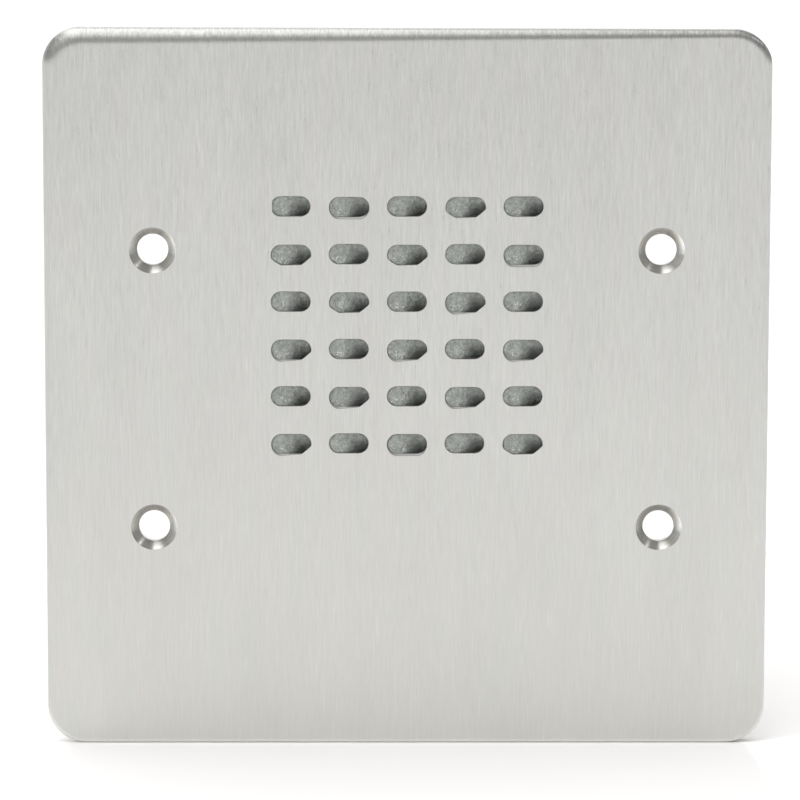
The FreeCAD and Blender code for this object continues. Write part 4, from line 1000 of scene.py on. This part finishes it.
@dataclass
class Faceplate:
    """The steel plate: ground front edge, punched slots and four countersunk holes.

    The growth tables say how far the edge was ground away against its mean, and top_drop how far the
    top edge was ground down. The ends of the plate take part over growth_span corner radii.
    """

    side: float = 119.06
    thick: float = 3.0
    corner_r: float = 6.35
    edge_r: float = 2.2
    edge_depth: float = 1.5
    edge_reach: float = 2.1
    edge_power: float = 2.4
    corner_steps: int = 24
    edge_steps: int = 18
    rim_r: float = 0.07
    sink_rim_r: float = 0.05
    rim_angle: float = 0.3
    lip_depth: float = 0.2
    hole_r: float = 2.55
    sink_r: float = 3.8
    sink_margin: float = 0.4
    sink_angle: float = 82.0
    hole_sides: int = 96
    beyond: float = 1.0
    clearance: float = 0.002
    growth_span: float = 2.2
    top_growth: tuple[Pair, ...] = ((-54, 1.5), (-45, 1.14), (-28, 1.08), (3, 0.8), (20, 0.77), (55, 0.76))
    bottom_growth: float = 0.35
    top_drop: tuple[Pair, ...] = ((-58, 0.12), (58, 0.42))
    slots: SlotGrid = field(default_factory=SlotGrid)

    def build(self) -> None:
        """Make the plate and dress it."""
        half = self.side / 2
        plate = block("faceplate_brushed", (-half, -self.thick, -half), (half, 0, half))
        self.round_outline(plate)
        self.grind_edge(plate)
        carve(plate, self.cutters())
        self.soften_rims(plate)
        self.dress(plate)
        smooth(plate, 35.0)
        settle(plate, "brushed_stainless", "faceplate")

    def round_outline(self, plate: Piece) -> None:
        """Round the four corners of the plate's outline, then its front edge."""
        with shaping(plate):
            pick(plate, Kind.EDGE, lambda edge: abs(edge.verts[0].co.y - edge.verts[1].co.y) > 0.5 * MM)
            bpy.ops.mesh.bevel(offset=self.corner_r * MM, segments=self.corner_steps)
            pick(plate, Kind.EDGE, lambda edge: lies_at(edge, -self.thick))
            bpy.ops.mesh.bevel(offset=self.edge_r * MM, segments=self.edge_steps)

    def along(self, table: Sequence[Pair], x: float) -> float:
        """A value read between the points of a table."""
        value = table[0][1]
        for (x0, low), (x1, high) in zip(table, table[1:]):
            if x > x0:
                value = low + (high - low) * part_way(x, x0, x1)
        return value

    def growth(self, x: float, z: float) -> float:
        """How far the edge was ground away at a place, against its mean."""
        start = self.side / 2 - self.growth_span * self.corner_r
        top, bottom = (part_way(height, start, start + self.corner_r) for height in (z, -z))
        return 1 + top * (self.along(self.top_growth, x) - 1) + bottom * (self.bottom_growth - 1)

    def grind_edge(self, plate: Piece) -> None:
        """Run the rounding out softly into the face, and let it grow and shrink as hand grinding leaves it.

        Args:
            plate: The plate with its evenly rounded edge.
        """
        inner = (self.side / 2 - self.corner_r) * MM
        radius = self.edge_r * MM
        for vertex in plate.data.vertices:
            x, y, z = vertex.co
            depth = y + self.thick * MM
            if depth <= radius + 0.1 * HAIR:
                core = Vector((max(-inner, min(inner, x)), 0, max(-inner, min(inner, z))))
                out = Vector((x, 0, z)) - core
                inset = self.corner_r * MM - out.length
                turn = math.atan2(max(0.0, radius - depth), max(0.0, radius - inset))
                side, rise = (max(0.0, part) ** (2 / self.edge_power) for part in (math.cos(turn), math.sin(turn)))
                grow = self.growth(x / MM, z / MM)
                moved = core + out.normalized() * (self.corner_r - self.edge_reach * grow * (1 - side)) * MM
                vertex.co = (moved.x, (self.edge_depth * grow * (1 - rise) - self.thick) * MM, moved.z)
            share = part_way(vertex.co.z / MM, self.side / 2 - self.corner_r, self.side / 2)
            vertex.co.z -= share * self.along(self.top_drop, vertex.co.x / MM) * MM

    def cutters(self) -> Piece:
        """The slots and holes as one solid to cut with."""
        tools = [self.slot_tool(number, slot) for number, slot in enumerate(self.slots.places())]
        slope = math.tan(math.radians(self.sink_angle / 2))
        depth = (self.sink_r - self.hole_r) / slope
        front = -self.thick - self.beyond
        profile = [(0, front), (self.sink_r + slope * self.beyond, front), (self.hole_r, -self.thick + depth),
                   (self.hole_r, self.beyond), (0, self.beyond)]
        for x in (-HOLE_X, HOLE_X):
            for z in (-HOLE_Z, HOLE_Z):
                tools.append(lathe("sink_tool", profile, x, z, self.hole_sides))
        return joined("tools", tools)

    def slot_tool(self, number: int, slot: Slot) -> Piece:
        """One slot's cutter: its lip is struck at the face and slants back to the plain outline.

        Args:
            number: The slot's number.
            slot: The slot to cut.

        Returns:
            The closed cutter.
        """
        base, struck = ([(slot.x + x, slot.z + z) for x, z in self.slots.outline(lip)]
                        for lip in (slot.deep_lip, slot.lip))
        face_y, lip_y = -self.thick - self.clearance, self.lip_depth - self.thick
        tool = prism(f"slot_tool_{number}", struck, -self.thick - self.beyond, face_y)
        self.run_on(tool, face_y, lip_y)
        for vertex in tool.data.vertices:
            if vertex.co.y > lip_y * MM - HAIR:
                place = (vertex.co.x / MM, vertex.co.z / MM)
                x, z = min(zip(struck, base), key=lambda pair: math.dist(pair[0], place))[1]
                vertex.co = (x * MM, lip_y * MM, z * MM)
        self.run_on(tool, lip_y, self.beyond)
        return tool

    def run_on(self, tool: Piece, start: float, end: float) -> None:
        """Extrude the cutter's face that lies at one Y on to another."""
        with shaping(tool):
            pick(tool, Kind.FACE, lambda face: lies_at(face, start))
            push(end - start)

    def in_face(self, place: Vector) -> bool:
        """Whether a place is inside the band of the plate's edge."""
        return max(abs(place.x), abs(place.z)) < (self.side / 2 - self.corner_r) * MM

    def in_hole(self, place: Vector) -> bool:
        """Whether a place is at one of the four holes."""
        reach = math.hypot(abs(place.x) - HOLE_X * MM, abs(place.z) - HOLE_Z * MM)
        return reach < (self.sink_r + self.sink_margin) * MM

    def soften_rims(self, plate: Piece) -> None:
        """Roll the rims of the slots over, and break the edges of the countersinks."""
        def rim(edge: Any, hole: bool) -> bool:
            """Whether an edge is a rim of the wanted kind."""
            place = edge.verts[0].co
            return (lies_at(edge, -self.thick) and self.in_face(place) and len(edge.link_faces) == 2
                    and edge.calc_face_angle(0) > self.rim_angle and self.in_hole(place) == hole)

        with shaping(plate):
            for hole, radius, steps in ((False, self.rim_r, 3), (True, self.sink_rim_r, 2)):
                pick(plate, Kind.EDGE, lambda edge: rim(edge, hole))
                bpy.ops.mesh.bevel(offset=radius * MM, segments=steps)

    def dress(self, plate: Piece) -> None:
        """Give the face, the slot walls and the countersinks their finishes."""
        wear(plate, BrushedPlateFinish(), STEEL_WALL, CountersinkFinish())
        for face in plate.data.polygons:
            if self.in_face(face.center) and abs(face.normal.y) < 0.97:
                face.material_index = 2 if self.in_hole(face.center) else 1


@dataclass
class FoamPad:
    """The grey foam behind the slots, which bulges into each of them.

    A bulge is a grid of across by up cells. Each torn fibre has a height, a lean and a reach.
    """

    half: float = 32.99
    thick: float = 3.0
    edge_r: float = 0.4
    hole_offset: float = 28.99
    hole_r: float = 3.3
    crown_y: float = -2.86
    rim_y: float = -2.84
    front_y: float = -2.98
    back_y: float = -0.45
    fall: float = 1.7
    bottom_fall: float = 0.15
    skirt_y: float = -0.3
    root_y: float = 0.6
    gap: float = 0.01
    across: int = 46
    up: int = 24
    fibre_r: float = 0.09
    fibre_tip_r: float = 0.03
    fibre_length: float = 2.0
    fibre_y: float = -2.35
    fibres: tuple[Point, ...] = ((0.5, 0.3, 0.34), (0.28, 0.5, 0.42), (0.05, -0.2, 0.5), (-0.2, 0.35, 0.44),
                                 (-0.42, -0.4, 0.36), (-0.7, -0.1, 0.3))
    slots: SlotGrid = field(default_factory=SlotGrid)

    def build(self) -> None:
        """Make the pad with its bulges."""
        slab = self.slab()
        places = self.slots.places()
        together = joined("foam_bulges", [self.bulge(number, slot) for number, slot in enumerate(places)])
        self.dent(together)
        pad = joined("foam_pad", [slab, together, *self.torn(places[0])])
        foam = FoamFinish()
        self.mark_painted_light(pad, places, foam.zone)
        wear(pad, foam)
        smooth(pad, 60.0, False)
        settle(pad, "foam_grey", "acoustic_foam")

    def slab(self) -> Piece:
        """The flat pad with its four spacer holes and soft edges."""
        slab = block("foam_slab", (-self.half, 0.0, GRILLE_Z - self.half),
                     (self.half, self.thick, GRILLE_Z + self.half))
        with shaping(slab):
            bpy.ops.mesh.bevel(offset=self.edge_r * MM, segments=3)
        profile = [(0, -1), (self.hole_r, -1), (self.hole_r, self.thick + 1), (0, self.thick + 1)]
        corners = [(x, GRILLE_Z + z) for x in (-self.hole_offset, self.hole_offset)
                   for z in (-self.hole_offset, self.hole_offset)]
        carve(slab, joined("spacer_tools", [lathe("spacer_tool", profile, x, z, 40) for x, z in corners]))
        return slab

    def edge_of(self, outline: Outline, angle: float) -> Pair:
        """Where a ray from the slot's centre meets its outline.

        Args:
            outline: The outline about the slot's centre.
            angle: The ray's angle, from X towards Z.

        Returns:
            The place (x, z).
        """
        ray = (math.cos(angle), math.sin(angle))
        best = 0.0
        for (ax, az), (bx, bz) in zip(outline, outline[1:] + outline[:1]):
            dx, dz = bx - ax, bz - az
            cross = ray[0] * dz - ray[1] * dx
            if abs(cross) > HAIR * HAIR:
                reach = (ax * dz - az * dx) / cross
                if -HAIR <= (ax * ray[1] - az * ray[0]) / cross <= 1 + HAIR:
                    best = max(best, reach)
        return best * ray[0], best * ray[1]

    def bulge(self, number: int, slot: Slot) -> Piece:
        """One bulge: a grid drawn to its slot's outline, crowned, with a skirt into the slab.

        Args:
            number: The slot's number.
            slot: The slot that it fills.

        Returns:
            The bulge.
        """
        piece = added(f"foam_bulge_{number}", "grid", x_subdivisions=self.across, y_subdivisions=self.up, size=2)
        outline = self.slots.outline(slot.deep_lip, self.gap)
        for vertex in piece.data.vertices:
            u, v = vertex.co.x, vertex.co.y
            ring = max(abs(u), abs(v))
            edge_x, edge_z = self.edge_of(outline, math.atan2(v * self.slots.height, u * self.slots.length))
            x, z = slot.x + edge_x * ring, slot.z + edge_z * ring
            vertex.co = (x * MM, self.height_at(*self.slots.share_of(slot, x, z), ring) * MM, z * MM)
        with shaping(piece):
            bpy.ops.mesh.region_to_loop()
            bpy.ops.mesh.extrude_edges_move(TRANSFORM_OT_translate={"value": (0, MM, 0)})
        for vertex in piece.data.vertices:
            if vertex.co.y > self.skirt_y * MM:
                vertex.co.y = self.root_y * MM
        with shaping(piece):
            bpy.ops.mesh.normals_make_consistent(inside=False)
        return piece

    def height_at(self, right: float, above: float, ring: float) -> float:
        """How far forward the foam stands at a place of its slot.

        Args:
            right: From -1 at the slot's left end to 1 at its right end.
            above: From -1 at its bottom to 1 at its top.
            ring: From 0 at its centre to 1 at its wall.

        Returns:
            The foam's Y in millimetres.
        """
        shoulder = ring ** 6 * (self.rim_y - self.crown_y)
        slide = ease(right, -0.3, 0.8) * self.fall * (0.62 - 0.38 * above)
        sag = ease(-above, 0.35, 1.0) * self.bottom_fall
        return min(self.crown_y + shoulder + slide + sag, self.back_y)

    def dent(self, piece: Piece) -> None:
        """Roughen the bulges: soft dents first, then small pits."""
        for name, kind, size, depth, way in (("foam_dents", "CLOUDS", 1.1, 0.22, "Y"),
                                             ("foam_pits", "VORONOI", 0.3, 0.09, "NORMAL")):
            texture = bpy.data.textures.new(name, kind)
            texture.noise_scale = size * MM
            use_modifier(piece, "DISPLACE", texture=texture, texture_coords="GLOBAL", strength=depth * MM,
                         mid_level=0.5, direction=way)
        for vertex in piece.data.vertices:
            vertex.co.y = max(vertex.co.y, self.front_y * MM)

    def torn(self, slot: Slot) -> list[Piece]:
        """The torn fibres that stand out at the left end of the first slot."""
        found = []
        for number, (z, lean, reach) in enumerate(self.fibres):
            fibre = added(f"foam_fibre_{number}", "cone", vertices=6, radius1=self.fibre_r * MM,
                          radius2=self.fibre_tip_r * MM, depth=self.fibre_length * MM, end_fill_type="NGON")
            with shaping(fibre):
                bpy.ops.mesh.subdivide(number_cuts=4)
            for vertex in fibre.data.vertices:
                along = vertex.co.z / (self.fibre_length * MM) + 0.5
                place = Vector((slot.x + self.slots.ragged_x + 0.35 - along * (reach + 0.55),
                                self.fibre_y - math.sin(along * math.pi * 0.8) * 0.5,
                                slot.z + z + lean * along * along))
                vertex.co = place * MM + Vector((0, vertex.co.x, vertex.co.y))
            found.append(fibre)
        return found

    def mark_painted_light(self, pad: Piece, places: Sequence[Slot], zone: str) -> None:
        """Note on each point its share of painted shade, towards the lower right of its slot, and of painted glints,
        towards its lower left.

        Args:
            pad: The joined pad.
            places: The slots.
            zone: The name of the attribute that takes the notes.
        """
        layer = pad.data.color_attributes.new(zone, "FLOAT_COLOR", "POINT")
        for vertex, cell in zip(pad.data.vertices, layer.data):
            x, y, z = (value / MM for value in vertex.co)
            near = min(places, key=lambda slot: abs(slot.x - x) + abs(slot.z - z))
            right, above = self.slots.share_of(near, x, z)
            painted_shade_share = painted_glint_share = 0.0
            if y < -0.2 and abs(right) < 1.25 and abs(above) < 1.25:
                # Painted shade towards the lower right of the slot, and painted glints towards its lower left.
                painted_shade_share = ease(right, -0.15, 0.6) * ease(-above, -0.8, 0.4)
                painted_glint_share = math.exp(-((right + 0.42) / 0.42) ** 2 - ((above + 0.5) / 0.4) ** 2)
            cell.color = (painted_shade_share, painted_glint_share, 0.0, 1.0)


@dataclass
class Board:
    """What lies on the amplifier board: copper runs, pads and the round capacitors.

    Each run has a width and a path, each pad a place, and each can a place, a radius and a height.
    """

    back_y: float = 33.7
    run_thick: float = 0.04
    runs: tuple[tuple[float, Outline], ...] = (
        (1.6, [(-10.16, -26), (-10.16, -21.5), (-15.1, -16.6), (-16.4, -16.6)]),
        (1.6, [(-5.08, -26), (-5.08, -20.3), (-9.4, -16)]),
        (1.2, [(0, -26), (0, -17.5), (2.19, -15.3), (2.19, -9.7)]),
        (1.2, [(5.08, -26), (5.08, -14.6), (4.73, -14.2), (4.73, -9.7)]),
        (1.6, [(10.16, -26), (10.16, -20), (28, -2.2), (28, 17), (22.6, 22.4), (19.3, 22.4)]),
        (0.8, [(-25.07, 0), (-25.07, 7.2), (-23.2, 8.84), (-22, 8.84)]),
        (0.8, [(-14.91, 0), (-14.91, 3.4), (-16.99, 5.5), (-16.99, 8.84)]),
        (0.8, [(-12.07, 0), (-12.07, 8.7), (-12, 8.84)]),
        (0.8, [(-25.07, -5), (-28.4, -1.7), (-28.4, 15.6), (-24.9, 19.1), (-22, 19.1)]),
        (0.8, [(-14.91, -5), (-12.07, -5)]),
        (0.8, [(-14.91, -10), (-12.07, -10)]),
        (0.8, [(-1.91, 0), (-0.4, 0), (2.19, -2.35)]),
        (0.8, [(-1.91, -5), (-0.2, -5), (1.6, -3.2), (4.73, -2.35)]),
        (0.8, [(-1.91, -10), (2.19, -9.7)]),
        (0.8, [(-25.07, -10), (-28, -13), (-28, -20), (-24, -24), (-14, -24)]),
        (0.8, [(7.27, -2.35), (7.27, 0.6), (2.19, 2.6), (2.19, 4.35)]),
        (0.8, [(9.81, -2.35), (13.4, 1.2), (17.5, 1.2), (19.4, -0.7)]),
        (0.8, [(9.81, -9.7), (13.8, -9.7), (19.4, -4.2)]),
        (0.8, [(9.81, 4.35), (13.2, 7.7), (13.2, 10.4), (16.7, 13.9)]),
        (0.8, [(9.81, 11.65), (9.81, 14.8), (15.2, 20.3), (16.7, 22.4)]),
        (0.8, [(7.27, 11.65), (7.27, 20)]),
        (0.8, [(4.73, 11.65), (4.73, 20.2), (6.2, 21.7)]),
        (0.8, [(2.19, 11.65), (2.19, 19.1), (-6.4, 27.6), (-18.4, 27.6), (-22, 24), (-22, 19.1)]),
        (0.8, [(-12, 19.1), (-5.2, 12.4), (-5.2, 4.6), (-3, 2.4), (-1.91, 0)]),
        (2.4, [(-30.4, -30.4), (-30.4, 26), (-26, 30.4), (26, 30.4), (30.4, 26), (30.4, -26), (26, -30.4),
               (-28, -30.4)]))
    pads: tuple[Pair, ...] = (
        *((x, z) for x in (-25.07, -14.91, -12.07, -1.91) for z in (0, -5, -10)),
        *((x, z) for x in (-21.99, -16.99, -11.99) for z in (8.84, 19.14)),
        *((x, z) for x in (2.19, 4.73, 7.27, 9.81) for z in (4.35, 11.65, -9.65, -2.35)))
    pad_r: float = 0.95
    pad_bore: float = 0.3
    cans: tuple[tuple[float, float, float, float], ...] = (
        (7.99, 21.99, 4.0, 11.5), (17.99, 22.99, 3.15, 11.0), (17.99, 13.99, 3.15, 11.0))
    can_sides: int = 64
    can_groove_y: float = 2.0
    can_groove: float = 0.35
    can_round: float = 0.5
    can_rim: float = 0.6
    can_sink: float = 0.25
    lid_thick: float = 0.1
    lid_overlap: float = 0.02
    score_share: float = 0.8
    score_half: float = 0.11
    score_depth: float = 0.12
    stripe_y: float = 2.6
    stripe_half: float = 0.45

    def build(self) -> None:
        """Make the runs, the pads and the capacitors."""
        copper = joined("board_runs", [
            prism(f"run_{number}", self.ribbon(path, width), self.back_y, self.back_y + self.run_thick)
            for number, (width, path) in enumerate(self.runs)])
        wear(copper, MASKED_COPPER)
        settle(copper, "board_laminate")
        self.lay_pads()
        self.stand_cans()

    def ribbon(self, path: Outline, width: float) -> Outline:
        """The outline of a run along a path, mitred at its bends.

        Args:
            path: The run's middle line.
            width: The run's width.

        Returns:
            Points (x, z), anticlockwise.
        """
        ways = [(Vector(after) - Vector(before)).normalized() for before, after in zip(path, path[1:])]
        left, right = [], []
        for (x, z), first, second in zip(path, ways[:1] + ways, ways + ways[-1:]):
            lean = (first + second).normalized()
            across = Vector((-lean.y, lean.x)) * (width / 2 / max(0.5, lean.dot(first)))
            left.append((x + across.x, GRILLE_Z + z + across.y))
            right.append((x - across.x, GRILLE_Z + z - across.y))
        return right + left[::-1]

    def lay_pads(self) -> None:
        """A tinned ring round each pin."""
        base = self.back_y
        profile = [(self.pad_bore, base), (self.pad_r, base), (self.pad_r - 0.06, base + 0.07),
                   (self.pad_bore + 0.15, base + 0.13), (self.pad_bore, base + 0.16), (self.pad_bore, base)]
        first = lathe("pad", profile, 0, 0, 24)
        rings = []
        for number, (x, z) in enumerate(self.pads):
            rings.append(twin_of(first, f"pad_{number}"))
            rings[-1].data.transform(Matrix.Translation(Vector((x, 0, GRILLE_Z + z)) * MM))
        bpy.data.objects.remove(first)
        pads = joined("board_pads", rings)
        wear(pads, TINNED_PAD)
        smooth(pads, 40.0, False)
        settle(pads, "solder")

    def stand_cans(self) -> None:
        """The round capacitors: a sleeve with its stripe, and a scored metal top."""
        sleeves, tops = [], []
        for number, (x, z, radius, height) in enumerate(self.cans):
            top, groove = self.back_y + height, self.back_y + self.can_groove_y
            lip, sunk = radius - self.can_round - self.can_rim, top - self.can_sink - self.lid_thick
            bend = [(radius - self.can_round * (1 - math.cos(turn)), top - self.can_round * (1 - math.sin(turn)))
                    for turn in (math.radians(step * 15) for step in range(7))]
            profile = [(0, self.back_y), (radius, self.back_y), (radius, groove - 0.5), (radius - 0.1, groove - 0.25),
                       (radius - self.can_groove, groove), (radius - 0.1, groove + 0.25), (radius, groove + 0.5),
                       *bend, (lip, top), (lip, sunk), (0, sunk)]
            sleeves.append(lathe(f"can_sleeve_{number}", profile, x, GRILLE_Z + z, self.can_sides))
            tops.append(self.can_top(number, x, GRILLE_Z + z, lip + self.lid_overlap, sunk))
        whole = joined("capacitor_sleeves", sleeves)
        wear(whole, CAN_SLEEVE, CAN_STRIPE)
        for face in whole.data.polygons:
            if self.on_stripe(face.center / MM):
                face.material_index = 1
        lids = joined("capacitor_tops", tops)
        wear(lids, CAN_METAL)
        for piece, replaced in ((whole, ["electrolytic_capacitors"]), (lids, [])):
            smooth(piece, 40.0)
            settle(piece, "can_sleeve", *replaced)

    def on_stripe(self, place: Vector) -> bool:
        """Whether a place on the nearest can's sleeve is on its pale stripe."""
        across, up = place.x, place.z - GRILLE_Z
        x, z, _, height = min(self.cans, key=lambda can: math.hypot(can[0] - across, can[1] - up))
        low, high = self.back_y + self.stripe_y, self.back_y + height - self.can_round
        return low < place.y < high and abs(math.atan2(up - z, across - x)) > math.pi - self.stripe_half

    def can_top(self, number: int, x: float, z: float, radius: float, base: float) -> Piece:
        """One metal top with two crossed scores.

        Args:
            number: The can's number.
            x: The X of its axis.
            z: The Z of its axis.
            radius: The top's radius.
            base: The Y of its underside.

        Returns:
            The scored top.
        """
        top = base + self.lid_thick
        profile = [(0, base), (radius, base), (radius, top), (0, top)]
        lid = lathe(f"can_top_{number}", profile, x, z, self.can_sides)
        for turn in (0.0, math.pi / 2):
            along = Vector((math.cos(turn), math.sin(turn))) * radius * self.score_share
            aside = Vector((-math.sin(turn), math.cos(turn))) * self.score_half
            corners = (along + aside, aside - along, -along - aside, along - aside)
            outline = [(x + corner.x, z + corner.y) for corner in corners]
            carve(lid, prism("score", outline, top - self.score_depth / 2, top + 1))
        return lid


@dataclass
class Suspension:
    """The cloth and braid between the moving cone and the frame."""

    moving: str = "cone_assembly"
    sectors: int = 12
    held: Pair = (0.1, 0.9)

    def build(self) -> None:
        """Make the surround, the spider and the tinsel leads."""
        self.ring("speaker_surround", "surround_cloth")
        self.ring("spider", "spider_cloth")
        self.braids("tinsel_leads", "tinsel_braid")

    def ring(self, node: str, slot: str) -> None:
        """Make a ring in sectors, each cut from the frame's ring between two planes through the axis.

        Args:
            node: The ring of the frame that the sectors stand for.
            slot: The record's material slot.
        """
        finish = FINISHES[slot].make()
        solid = frame["nodes"][node]
        half = math.pi / self.sectors
        for number in range(self.sectors):
            piece = twin_of(solid, f"{node}_sector_{number + 1}")
            middle = 2 * half * number
            self.keep_side(piece, middle - half, 1)
            self.keep_side(piece, middle + half, -1)
            piece.data.materials.append(finish)
            smooth(piece, 40.0, False)
            enter(piece, slot, node)
            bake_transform(piece)

    def keep_side(self, piece: Piece, angle: float, side: int) -> None:
        """Keep what lies on one side of a plane through the axis.

        Args:
            piece: The piece to cut.
            angle: The plane's angle, from X towards Z.
            side: 1 to keep the side that the angle grows to, and -1 for the other.
        """
        normal = (-math.sin(angle) * side, 0, math.cos(angle) * side)
        with shaping(piece):
            bpy.ops.mesh.bisect(plane_co=(0, 0, GRILLE_Z * MM), plane_no=normal, use_fill=True, clear_inner=True)

    def braids(self, node: str, slot: str) -> None:
        """Make the tinsel leads, which bend between their ends on the cone and on the tag strip."""
        piece = twin_of(frame["nodes"][node], "tinsel_braids")
        wear(piece, FINISHES[slot])
        smooth(piece, 50.0, False)
        enter(piece, slot, node)
        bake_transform(piece)


def dress_frame() -> None:
    """Put its slot's finish on every shown node of the frame."""
    slots = {part["node"]: part["material_slot"] for part in frame["record"]["subparts"]}
    made: dict[str, Material] = {}
    for name, node in sorted(frame["nodes"].items()):
        if node.hide_render:
            continue
        slot = slots[name]
        if slot not in made:
            made[slot] = FINISHES[slot].make()
        for holder in node.material_slots:
            holder.link = "OBJECT"
            holder.material = made[slot]
        log.info("%s wears %s", name, made[slot].name)


@dataclass
class Studio:
    """White floor, soft lights and the camera. The angles are in degrees."""

    floor_z: float = -59.53
    floor_gap: float = 0.02
    floor_reach: float = 9000.0
    distance: float = 736.2
    elevation: float = 9.03
    yaw: float = -0.52
    roll: float = 0.097
    lens: float = 201.5
    centre: Point = (0.0, -3.0, 0.0)
    aim: Point = (-1.10, -3.0, -1.744)

    def build(self) -> None:
        """Put up the floor, the lights, the surroundings and the camera."""
        floor = added("studio_floor", "plane", size=self.floor_reach * MM,
                      location=(0, 0, (self.floor_z - self.floor_gap) * MM))
        wear(floor, StudioFinish())
        self.hang_lights()
        self.surround()
        self.set_camera()
        view = bpy.context.scene.view_settings
        view.view_transform = "Standard"
        view.look = "None"

    def hang_lights(self) -> None:
        """The main light from the left and a weak one overhead, which no mirror shows, and a small spark."""
        for name, toward, power, spread in (("left_key", (0.83, 0.46, -0.3), 2.3, 18.0),
                                            ("overhead", (0.0, 0.1, -1.0), 0.85, 60.0)):
            sun = self.hang(name, "SUN", (0, 0, 0), toward, energy=power, angle=math.radians(spread))
            sun.visible_glossy = False
        self.hang("right_spark", "AREA", (420, -200, 420), (-420, 200, -420), shape="RECTANGLE", size=0.06,
                  size_y=0.06, energy=0.12)

    def hang(self, name: str, kind: str, place: Point, toward: Point, **settings: Any) -> Piece:
        """Hang one light.

        Args:
            name: The light's name.
            kind: The light's type.
            place: Where it hangs.
            toward: The way its light goes.
            **settings: The light's own values.

        Returns:
            The light's holder.
        """
        light = bpy.data.lights.new(name, kind)
        for key, value in settings.items():
            setattr(light, key, value)
        holder = bpy.data.objects.new(name, light)
        holder.location = Vector(place) * MM
        holder.rotation_euler = Vector(toward).to_track_quat("-Z", "Y").to_euler()
        bpy.context.scene.collection.objects.link(holder)
        return holder

    def surround(self) -> None:
        """Pale surroundings with a dark band low in front, which the ground edge mirrors.

        Behind the plate they are white as far up as they are seen, and above that darker at the right.
        """
        world = bpy.data.worlds.new("studio_air")
        world.use_nodes = True
        bpy.context.scene.world = world
        air = Nodes(world.node_tree, "Generated")

        def grey(axis: str, *stops: Pair) -> Socket:
            """A grey ramp over one part of a direction, from -1 to 1."""
            part = air.remap(air.part(air.space, axis), -1, 1, 0, 1)
            return air.ramp(part, [(place, (tone, tone, tone)) for place, tone in stops])

        window = grey("X", (0.0, 0.0), (0.2, 0.0), (0.34, 1.0), (0.47, 1.0), (0.497, 0.8), (0.513, 0.45), (0.53, 0.0))
        bright = grey("Z", (0.0, 1.0), (0.505, 1.0), (0.535, 0.42), (0.66, 0.45), (0.76, 1.15), (0.88, 2.1),
                      (1.0, 2.65))
        dim = grey("Z", (0.0, 1.0), (0.505, 1.0), (0.535, 0.36), (1.0, 0.42))
        seen = grey("Z", (0.0, 1.0), (0.66, 1.0), (0.75, 0.0))
        behind = air.mix(seen, air.mix(window, (0.42, 0.42, 0.42), (1.4, 1.4, 1.4)), (1.2, 1.2, 1.2))
        front = grey("Y", (0.0, 1.0), (0.66, 1.0), (0.82, 0.0))
        air.feed(world.node_tree.nodes["Background"], air.mix(front, behind, air.mix(window, dim, bright)), 1.0)

    def set_camera(self) -> None:
        """Stand the camera where the photograph was taken from."""
        data = bpy.data.cameras.new("photo_camera")
        data.lens = self.lens
        data.sensor_width = 36.0
        data.sensor_fit = "HORIZONTAL"
        data.clip_start, data.clip_end = 0.01, 50.0
        tilt, turn, lean = (math.radians(angle) for angle in (self.elevation, self.yaw, self.roll))
        offset = Vector((math.sin(turn) * math.cos(tilt), -math.cos(turn) * math.cos(tilt), math.sin(tilt)))
        place = Vector(self.centre) + self.distance * offset
        ahead = (Vector(self.aim) - place).normalized()
        right = ahead.cross(Vector((0, 0, 1))).normalized()
        above = right.cross(ahead)
        leaned_right = math.cos(lean) * right + math.sin(lean) * above
        leaned_up = -math.sin(lean) * right + math.cos(lean) * above
        rotation = Matrix((leaned_right, leaned_up, -ahead)).transposed()
        camera = bpy.data.objects.new("photo_camera", data)
        camera.matrix_world = Matrix.Translation(place * MM) @ rotation.to_4x4()
        bpy.context.scene.collection.objects.link(camera)
        bpy.context.scene.camera = camera


def main() -> None:
    """Build every piece in order and report it."""
    logging.basicConfig(level=logging.INFO, format="%(name)s %(message)s")
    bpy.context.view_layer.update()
    Studio().build()
    Faceplate().build()
    FoamPad().build()
    Board().build()
    Suspension().build()
    dress_frame()


if __name__ == "__main__":
    main()
